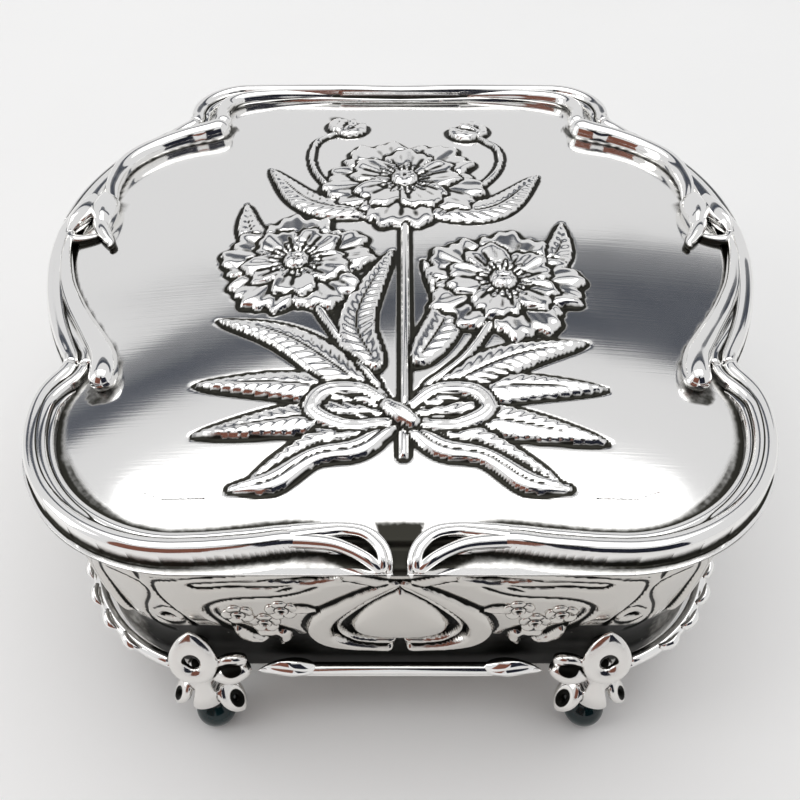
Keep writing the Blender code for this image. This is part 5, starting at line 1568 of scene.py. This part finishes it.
# %% Blossoms and scallops
BLOSSOM_POINTS = 60
BLOSSOM_LIFT = 0.7
BLOSSOM_PROFILE = [
    # share of the blossom's reach and height, from under its rim to the pit in its ring
    (0.96, -0.9), (1.0, 0.15), (0.93, 0.50), (0.80, 0.66), (0.64, 0.60), (0.50, 0.36), (0.42, 0.10),
    (0.37, 0.50), (0.30, 0.78), (0.22, 0.62), (0.16, 0.10),
]


def blossom_master():
    """A blossom of five petals round a ring, lying in the XY plane with its face up."""
    angle = np.linspace(0, math.tau, BLOSSOM_POINTS, endpoint=False)
    petal = np.abs(np.sin(2.5 * angle))
    edge = BLOSSOM_R * (0.76 + 0.24 * petal ** 0.6)
    rows = []
    for share, lift in BLOSSOM_PROFILE:
        fold = 1.0 if share < 0.45 or lift < 0.2 else 0.25 + 0.75 * petal ** 0.5
        reach = edge * share if share > 0.45 else np.full(BLOSSOM_POINTS, BLOSSOM_R * share)
        height = BLOSSOM_LIFT * lift * fold * np.ones(BLOSSOM_POINTS)
        rows.append(np.stack([reach * np.cos(angle), reach * np.sin(angle), height], axis=1))
    return joined("blossom", [np.array(rows)])


def scallop_master():
    """A small cupped leaf that leans along the foot of the wall."""
    leaf = leaf_shell((2.9, 0.3, 0.5), (-2.6, -0.4, 0.0), 1.35, 0.75, 0.7, fold=0.6, rows=14, sides=12)
    return joined("scallop", [leaf])


spots, turns = [], []
for side in (-1, 1):
    for number, (u, z) in enumerate(BLOSSOMS):
        stand = float(plain_wall(z)) + 0.15
        spots.append((*along(u, GROUND_INSET - stand, side), z))
        turns.append(turn_to(out_at(u, side), 1.1 * number))
master = blossom_master()
hollows(master, passes=6, depth=0.045)
blossoms = scattered("wall_blossoms", master, spots, turns, np.ones(len(spots)), WALL_SILVER)
settle(blossoms, WALL_SILVER, "body", "polished_silver")

RAIL_INSET = 3.0
RAIL_Z = 22.6
FOOT_X = 37.0
FOOT_INSET = 4.0
SCALLOP_STEP = 7.0
for hand, side in (("right", 1), ("left", -1)):
    travel = np.arange(FOOT_X + 16.0, HALF_EDGE - FOOT_X - 12.0, SCALLOP_STEP)
    spots = solid_points(along(travel, RAIL_INSET - 0.4, side), RAIL_Z + 2.0)
    turns = [turn_to(out_at(way, side), 0.25 * side) for way in travel]
    sizes = 0.85 + 0.25 * np.cos(travel * 0.45) ** 2
    master = scallop_master()
    hollows(master, passes=6, depth=0.07)
    scallops = scattered("foot_scallops_" + hand, master, spots, turns, sizes, CAST_SILVER)
    settle(scallops, CAST_SILVER, "body", "polished_silver")

# %% [markdown]
# ## Rails round the foot
# A roll with a fine bead under it closes the foot of the wall between the feet. At both ends
# of the front length it swells into a blade that climbs towards the foot.

# %% Rails
RAIL_GAP = 6.5
RAIL_HALF = 17.5
RAIL_BARS = [
    # how far outside the rail's line, height and radius of the roll and of the bead
    (0.0, RAIL_Z + 0.35, 1.15),
    (0.35, RAIL_Z - 0.95, 0.52),
]
RAIL_LEAVES = [
    # tip, root, width, thickness and lift of the blades at a front rail's ends
    ((26.4, 0.2, 22.4), (15.6, 0.2, 23.4), 1.7, 1.1, 1.2),
    ((24.6, 0.6, 25.0), (15.4, 0.0, 23.2), 1.3, 0.9, 1.3),
    ((25.6, 0.5, 23.4), (18.0, 0.5, 22.4), 1.1, 0.9, 0.5),
]


def rail_bars(travel_low, travel_high, side):
    """A roll and a finer bead under it along the outline."""
    travel = stops(travel_low, travel_high, 1.5)
    return [bar([(*along(t, RAIL_INSET - outer, side), z, radius) for t in travel], sides=sides, pitch=0.6)
            for (outer, z, radius), sides in zip(RAIL_BARS, (24, 16))]


def front_rail(name, y, out, replaced):
    """The straight length under the drop with a blade at each end."""
    parts = [bar([(x, y + out * outer, z, radius) for x in np.linspace(-RAIL_HALF, RAIL_HALF, 5)],
                 pitch=0.8, sides=24) for outer, z, radius in RAIL_BARS]
    for side in (-1, 1):
        for tip, root, width, thick, lift in RAIL_LEAVES:
            ends = [(side * x, y + out * ahead, z) for x, ahead, z in (tip, root)]
            parts.append(leaf_shell(*ends, width, thick, lift, fold=0.3))
    cast(joined(name, parts), "body", replaced)


front_rail("rail_front", FRONT_Y + RAIL_INSET, -1, "base_rail_front")
front_rail("rail_back", BACK_Y - RAIL_INSET, 1, "base_rail_back")
for hand, side in (("right", 1), ("left", -1)):
    rail = joined("rail_" + hand, rail_bars(FOOT_X + RAIL_GAP, HALF_EDGE - FOOT_X - RAIL_GAP, side))
    cast(rail, "body", "base_rail_" + hand)

# %% [markdown]
# ## Feet
# Each foot is one cast form: a spade leaf with an eye that leans back against the wall, a curled
# bud beside it, a waist with a broad tongue, and three petals that open over a dark glossy ball.
# The bud lies on the side of the casket's middle, with the largest petal below it. The forms are put
# together roughly and fused into one skin by remeshing, as wax parts are fused with a hot tool
# before casting. The back feet are the front ones turned half round.

# %% Parts of a foot
BALL_R = 4.0
BALL_FLAT = 1.2
FOOT_VOXEL = 0.24


def eyed_leaf(centre, right, up, half_width, half_height, eye, thick, point=0.6):
    """A pointed leaf round an oval eye: closed sections from the eye's edge out to the leaf's."""
    right, up = np.array(right, float), np.array(up, float)
    right, up = right / np.linalg.norm(right), up / np.linalg.norm(up)
    front = np.cross(right, up)
    eye_right, eye_up, eye_x, eye_z, lean = eye
    rows = []
    for t in np.linspace(0, math.tau, 72, endpoint=False):
        outer = np.array([half_width * math.sin(t) * abs(math.sin(t / 2)) ** point,
                          half_height * math.cos(t)])
        turned = math.atan2(outer[1] - eye_z, outer[0] - eye_x) - lean
        across, rise = eye_right * math.cos(turned), eye_up * math.sin(turned)
        inner = np.array([eye_x + across * math.cos(lean) - rise * math.sin(lean),
                          eye_z + across * math.sin(lean) + rise * math.cos(lean)])
        middle, span = (outer + inner) / 2, (outer - inner) / 2
        row = []
        for turn in np.linspace(0, math.tau, 16, endpoint=False):
            flat = middle + span * math.cos(turn)
            row.append(np.array(centre) + right * flat[0] + up * flat[1] + front * thick * math.sin(turn))
        rows.append(row)
    return np.array(rows)


FOOT_TUBES = [
    # the bud's bulb and lip, the neck, and the shin behind the leaf, whose part seen through the eye is
    # painted dark as shade: x, y, z, radius
    [(3.0, -2.6, 26.0, 1.3), (4.8, -3.4, 26.8, 1.9), (7.0, -3.7, 27.5, 2.3), (9.0, -3.3, 28.3, 1.9),
     (10.0, -2.6, 28.9, 1.1)],
    [(9.6, -2.2, 29.2, 1.0), (8.0, -2.7, 30.5, 1.1), (6.2, -2.9, 30.5, 1.0), (4.6, -3.0, 29.2, 0.9)],
    [(0.0, 0.6, 24.5, 2.6), (0.0, -0.9, 21.5, 3.0), (0.0, -1.2, 18.6, 2.4), (0.0, -0.8, 16.2, 2.1),
     (0.0, -0.2, 13.0, 2.5), (0.0, 0.0, 9.8, 3.1), (0.0, 0.0, 7.4, 3.0)],
    [(0.5, 0.2, 26.0, 2.0), (0.5, 0.6, 28.6, 2.0), (0.6, 0.9, 31.6, 1.8)],
]
TONGUE = [(0.3, -2.4, 23.2, 1.3), (0.6, -3.5, 20.8, 1.5), (0.8, -4.3, 18.0, 2.3), (0.8, -4.2, 15.2, 3.0),
          (0.6, -3.6, 13.6, 3.0)]
# The petals' eyes are left nearly closed and painted dark as shade.
PETAL_EYE = (0.30, 0.5, 0.0, 0.4, 0.0)
PETALS = [
    # bearing round the ball, distance from its axis, height and size
    (60, 6.3, 15.8, 1.06),
    (-60, 4.6, 16.2, 0.85),
    (180, 4.9, 14.6, 0.9),
]


def petal_places(hand):
    """Centre, way across, way up and size of each petal."""
    for way, away, level, size in PETALS:
        out = np.array([hand * math.sin(math.radians(way)), -math.cos(math.radians(way)), 0])
        yield out * away + (0, 0, level), np.cross(out, (0, 0, 1)), out * 0.5 + (0, 0, -0.87), size


def foot_parts(hand):
    """A front foot round its ball's axis at the origin; hand is the side of the curled bud."""
    lean = math.radians(22)
    knee = eyed_leaf((hand * 0.5, -3.0, 31.4), (1, 0, 0), (0, math.sin(lean), math.cos(lean)), 5.0, 5.9,
                     (1.05, 1.5, hand * -0.2, -0.9, hand * 0.6), 1.0, point=0.42)
    petals = [eyed_leaf(centre, across, up, 2.7 * size, 4.0 * size, PETAL_EYE, 0.95, point=0.3)
              for centre, across, up, size in petal_places(hand)]
    tubes = [bar([(hand * x, y, z, r) for x, y, z, r in line], sides=28) for line in FOOT_TUBES]
    tubes.append(bar([(hand * x, y, z, r) for x, y, z, r in TONGUE], sides=32, flat=0.42))
    return [knee] + petals, tubes


def foot_mesh(hand):
    """The parts of a foot fused into one skin of even faces, and smoothed."""
    loops, tubes = foot_parts(hand)
    rough = joined("foot_rough", tubes, loops)
    remesh = rough.modifiers.new("fuse", "REMESH")
    remesh.mode = "VOXEL"
    remesh.voxel_size = FOOT_VOXEL * MM
    soften = rough.modifiers.new("soften", "SMOOTH")
    soften.factor = 0.5
    soften.iterations = 5
    mesh = baked_mesh(rough)
    bpy.data.objects.remove(rough, do_unlink=True)
    return mesh


def eye_shade(made, hand):
    """Painted shade in the eyes of leaf and petals and in the bud's slot, and a painted shadow over the ball
    under the cup.
    """
    place = places_of(made)
    x, y, z = place.T
    seen = z + 1.9 * (y + 3.3)
    eye = ((x - hand * 0.3) / 1.6) ** 2 + ((seen - 29.9) / 2.9) ** 2
    deep = smoothstep(1.4, 0.9, eye) * smoothstep(-4.1, -3.7, y)
    slot = smoothstep(1.5, 0.7, ((x - hand * 7.0) / 2.0) ** 2 + ((z - 29.6) / 0.75) ** 2) * (y < -2.0)
    over_ball = smoothstep(13.0, 11.0, z) * smoothstep(4.3, 3.7, np.hypot(x, y))
    shades = [deep, slot, over_ball]
    for centre, across, up, size in petal_places(hand):
        u, w = (place - centre) @ across, (place - centre) @ up
        shades.append(smoothstep(1.3, 0.8, (u / (1.25 * size)) ** 2 + ((w - 0.4) / (2.0 * size)) ** 2))
    return np.maximum.reduce(shades)


# %% Setting the feet
BALL_TONES = ((0.002, 0.006, 0.007), (0.008, 0.032, 0.036))
BALL_FINISH, bench, shader = finish_of("dark_ball", Roughness=0.06, IOR=1.45)
bench.feed(shader.inputs["Base Color"], mix(bench, bench.noise(bench.place(), 160.0, 3.0), *BALL_TONES))
FOOT_SILVER = silver("polished_silver_foot", gloss=0.13, tone=(0.80, 0.785, 0.76), patina_and_shade=WALL_PATINA_AND_SHADE)


def ball_rows():
    """A ball with a small flat ground on its underside, from the top down."""
    sunk = BALL_R - math.sqrt(BALL_R ** 2 - BALL_FLAT ** 2)
    angle = np.linspace(0, math.tau, 56, endpoint=False)
    rows = []
    for way in np.linspace(0.04, math.pi - math.asin(BALL_FLAT / BALL_R), 34):
        reach = BALL_R * math.sin(way)
        level = np.full(56, BALL_R + BALL_R * math.cos(way) - sunk)
        rows.append(np.stack([reach * np.cos(angle), reach * np.sin(angle), level], axis=1))
    return np.array(rows)


for row, turn in (("front", 1), ("back", -1)):
    for hand, side in (("left", -1), ("right", 1)):
        y = FRONT_Y + FOOT_INSET if row == "front" else BACK_Y - FOOT_INSET
        curl_side = -side * turn
        mesh = foot_mesh(curl_side)
        made = new_object(f"cast_foot_{row}_{hand}", mesh)
        mesh.shade_smooth()
        # The eyes, the bud's slot and the cup over the ball are painted dark as shade.
        hollows(made, passes=16, depth=0.13, extra=eye_shade(made, curl_side))
        shift = Matrix.Translation((side * FOOT_X * MM, y * MM, 0)) @ Matrix.Diagonal((turn, turn, 1, 1))
        mesh.transform(shift)
        settle(made, FOOT_SILVER, "body", "polished_silver", f"foot_{row}_{hand}")
        ball = joined(f"ball_{row}_{hand}", [ball_rows() + (side * FOOT_X, y, 0)])
        settle(ball, BALL_FINISH, "body", "dark_ball", f"foot_ball_{row}_{hand}")

# %% [markdown]
# ## Hinge and bottom plate
# The hinge and the plate under the lining were never polished: they are the same silver with
# more drag marks and a duller face. The leaves are rolled round a pin in five knuckles.

# %% Hinge
PLAIN_SILVER = silver("plain_silver", gloss=0.27, scratches=0.35, waves=0.00005, tone=(0.66, 0.65, 0.62))
HINGE_Y = BACK_Y + 2.3
HINGE_Z = 58.15
HINGE_HALF = 20.0
KNUCKLES = 5
KNUCKLE = 2 * HINGE_HALF / KNUCKLES
GAP = 0.3
BORE_R = 1.1
KNUCKLE_R = 2.0
# The pin's head: distance past the last knuckle and radius, from the shank outwards.
PIN_HEAD = [(0.15, 0.8), (0.2, 1.5), (0.8, 1.4), (1.05, 0.95)]


def plate_rows(low, high, edge=0.22):
    """A flat plate as rows along X, with rounded long edges and ends."""
    y, z = (low[1] + high[1]) / 2, (low[2] + high[2]) / 2
    half_y, half_z = (high[1] - low[1]) / 2, (high[2] - low[2]) / 2
    angle = np.linspace(0, math.tau, 32, endpoint=False) + math.tau / 64
    rows = []
    for x, pull in ((low[0], edge), (low[0] + edge * 0.3, edge * 0.3), (low[0] + edge, 0.0),
                    (high[0] - edge, 0.0), (high[0] - edge * 0.3, edge * 0.3), (high[0], edge)):
        corner = np.stack([np.sign(np.cos(angle)), np.sign(np.sin(angle))], axis=1)
        core = corner * (half_y - edge, half_z - edge)
        ring = core + np.stack([np.cos(angle), np.sin(angle)], axis=1) * (edge - pull * 0.9)
        rows.append(np.column_stack([np.full(32, x), y + ring[:, 0], z + ring[:, 1]]))
    return np.array(rows)


def hinge_rings(profile, count):
    """Rings round the hinge's line through (x, radius) pairs."""
    rows = []
    for x, radius in profile:
        for_y, for_z = radius * ways_round(count).T
        rows.append(np.stack([np.full(count, x), HINGE_Y + for_y, HINGE_Z + for_z], axis=1))
    return np.array(rows)


def knuckle_rows(low, high):
    """A knuckle with eased ends and a bore for the pin."""
    half = [(0.0, BORE_R), (0.0, KNUCKLE_R - 0.25), (0.25, KNUCKLE_R)]
    return hinge_rings([(low + x, r) for x, r in half] + [(high - x, r) for x, r in half[::-1]], 40)


def hinge_leaf(name, first, plate, web, body, replaced):
    """A leaf: its plate, its webs and every second knuckle."""
    solids = [plate_rows((-HINGE_HALF, *plate[0]), (HINGE_HALF, *plate[1]))]
    rings = []
    for number in range(first, KNUCKLES, 2):
        low = -HINGE_HALF + number * KNUCKLE + GAP / 2
        high = low + KNUCKLE - GAP
        solids.append(plate_rows((low, *web[0]), (high, *web[1]), edge=0.1))
        rings.append(knuckle_rows(low, high))
    made = joined(name, solids, rings)
    hollows(made)
    settle(made, PLAIN_SILVER, body, "plain_silver", replaced)


leaf_face = BACK_Y - 2.3
hinge_leaf("hinge_on_wall", 0, ((leaf_face, 50.7), (leaf_face + 1.0, 57.7)),
           ((leaf_face + 0.5, 56.4), (HINGE_Y - 1.2, 57.7)), "body", "hinge_leaf_body")
hinge_leaf("hinge_on_lid", 1, ((BACK_Y + 0.1, 60.45), (BACK_Y + 1.1, 61.75)),
           ((BACK_Y + 0.1, 58.4), (BACK_Y + 1.15, 60.9)), "lid", "hinge_leaf_lid")
pin = [(HINGE_HALF + x, radius) for x, radius in PIN_HEAD]
made = joined("hinge_rod", [hinge_rings([(-x, radius) for x, radius in pin[::-1]] + pin, 28)])
hollows(made)
settle(made, PLAIN_SILVER, "body", "plain_silver", "hinge_pin")
repaint(bpy.data.objects["base_plate"], PLAIN_SILVER)
print("hinge and plate done")

# %% [markdown]
# ## Velvet lining
# Inside, velvet is drawn over thin board. The floor pad and the lid's pad are stuffed, so they
# are blown up like cushions by a short cloth simulation and held to the room they have. On
# the walls the velvet is glued flat with a rolled top edge. Velvet is dark face on and light
# at a grazing angle: a rough base with a sheen, and a fine pile that leans this way and that.

# %% Velvet and board
VELVET = 1.6
LINING_INSET = 6.7
LINING_LOW = 24.2
LINING_TOP = 55.0
PAD_SIM_FRAMES = 20


def velvet(name):
    """Short pile: dark colour with clouds where it was stroked, fine bumps and a sheen."""
    paint, bench, shader = finish_of(name, Roughness=0.9, Specular_IOR_Level=0.15, Sheen_Weight=0.85,
                                     Sheen_Roughness=0.35)
    shader.inputs["Sheen Tint"].default_value = (1.0, 0.45, 0.50, 1.0)
    where = bench.place()
    stroked, pile = bench.noise(where, 55.0, 2.0), bench.noise(where, 2600.0, 2.0)
    shade = bench.node("ShaderNodeMapRange", inputs={
        "Value": stroked * 0.75 + pile * 0.25, "From Min": 0.35, "From Max": 0.68})
    bench.feed(shader.inputs["Base Color"], mix(bench, shade, (0.12, 0.008, 0.020), (0.27, 0.022, 0.048)))
    bench.feed(shader.inputs["Normal"], bench.bump(0.5, 0.00025, pile))
    return paint


def board(name):
    """Grey board with short fibres."""
    paint, bench, shader = finish_of(name, Roughness=0.92)
    stretched = bench.node("ShaderNodeMapping", inputs={
        "Vector": bench.place(), "Scale": (300.0, 2200.0, 900.0)})
    fibres = bench.noise(stretched, 1.0, 4.0)
    bench.feed(shader.inputs["Base Color"], mix(bench, fibres, (0.27, 0.245, 0.21), (0.42, 0.385, 0.34)))
    return paint


VELVET_FINISH = velvet("velvet")
BOARD_FINISH = board("lining_card")
for node in ("lining_floor_card", "lid_lining_card"):
    repaint(bpy.data.objects[node], BOARD_FINISH)

# %% Stuffed pads
PAD_PITCH = 1.9
PAD_SHRINK = 0.55


def pad_shape(name, low, high, inset, crown_up):
    """A flat pillow over the lining's outline, a little smaller than the room it has."""
    travel = np.arange(0, 2 * HALF_EDGE, PAD_PITCH)
    edge = around(travel, inset + PAD_SHRINK)
    middle = np.array([0.0, MIDDLE_Y])
    thick = high - low - 2 * PAD_SHRINK * 0.6
    under = [(share, 0.0) for share in (0.12, 0.4, 0.7, 0.9)]
    sides = [(0.985, 0.0), (1.0, 0.12), (1.0, 0.5), (0.985, 0.85)]
    top = [(share, 1.0) for share in (0.94, 0.7, 0.4, 0.12)]
    rows = [solid_points(middle + (edge - middle) * share, rise * thick)
            for share, rise in under + sides + top]
    rows = np.array(rows)
    if not crown_up:
        rows[..., 2] = thick - rows[..., 2]
    rows[..., 2] += low + PAD_SHRINK * 0.6
    return joined(name, [rows])


def bake_in(made):
    """Put what an object's modifiers make into its own mesh."""
    mesh = baked_mesh(made)
    made.modifiers.clear()
    made.data = mesh


def stuffed(name, node, inset, body, crown_up):
    """A pad blown up by a cloth simulation, its points kept inside the solid's own room."""
    low, high = [np.array(corner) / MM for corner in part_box(node)]
    made = pad_shape(name, low[2], high[2], inset, crown_up)
    remesh = made.modifiers.new("even", "REMESH")
    remesh.mode = "VOXEL"
    remesh.voxel_size = PAD_PITCH * MM
    bake_in(made)
    before = places_of(made)
    cloth = made.modifiers.new("stuffing", "CLOTH")
    cloth.settings.use_pressure = True
    cloth.settings.uniform_pressure_force = 4.0
    cloth.settings.effector_weights.gravity = 0.0
    cloth.settings.quality = 4
    for step in range(1, PAD_SIM_FRAMES + 1):
        bpy.context.scene.frame_set(step)
    bake_in(made)
    after = places_of(made)
    moved = after - before
    size = np.linalg.norm(moved, axis=1, keepdims=True)
    after = before + moved * np.minimum(1, PAD_SHRINK / np.maximum(size, 1e-9))
    after[:, 2] = np.clip(after[:, 2], low[2] + 0.02, high[2] - 0.02)
    made.data.vertices.foreach_set("co", (after * MM).ravel())
    made.data.shade_smooth()
    round_off = made.modifiers.new("round", "SUBSURF")
    round_off.levels = 1
    round_off.render_levels = 1
    bake_in(made)
    settle(made, VELVET_FINISH, body, "velvet", node)
    print(f"{name}: moved by up to {float(size.max()):.2f} mm")


FLOOR_INSET = LINING_INSET + VELVET + GAP
stuffed("floor_pad", "lining_floor_pad", FLOOR_INSET, "body", True)
stuffed("lid_pad", "lid_lining_pad", FLOOR_INSET, "lid", False)

# %% Velvet on the walls
def lining_rows(travel, side=1):
    """Closed sections of the wall lining, its top edge rolled over."""
    inner = LINING_INSET + VELVET
    half = VELVET / 2
    section = [(LINING_INSET, LINING_LOW), (inner - 0.1, LINING_LOW), (inner, LINING_LOW + 0.3)]
    section += [(inner, z) for z in np.arange(LINING_LOW + 2, LINING_TOP - 1.4, 2.0)]
    section += [(LINING_INSET + half * (1 + math.cos(angle)), LINING_TOP - half + half * math.sin(angle))
                for angle in np.linspace(0, math.pi, 9)]
    table = np.array(section)
    s, n = np.meshgrid(travel, np.arange(len(table)), indexing="ij")
    return solid_points(along(s, table[n, 0], side), table[n, 1])


LINING_SEAMS = (END_OF["lobe"] - 0.2, BACK_NOTCH + 4.0)
side_lining = lining_rows(stops(LINING_SEAMS[0] + GAP, LINING_SEAMS[1] - GAP, 0.7))
pieces = {
    "front": front_whole(lining_rows(stops(0, LINING_SEAMS[0], 0.9))),
    "back": back_whole(lining_rows(stops(LINING_SEAMS[1], HALF_EDGE, 0.9))),
    "right": side_lining,
    "left": side_lining * FLIP,
}
for hand, rows in pieces.items():
    made = joined("velvet_wall_" + hand, [rows])
    settle(made, VELVET_FINISH, "body", "velvet", "lining_wall_" + hand)
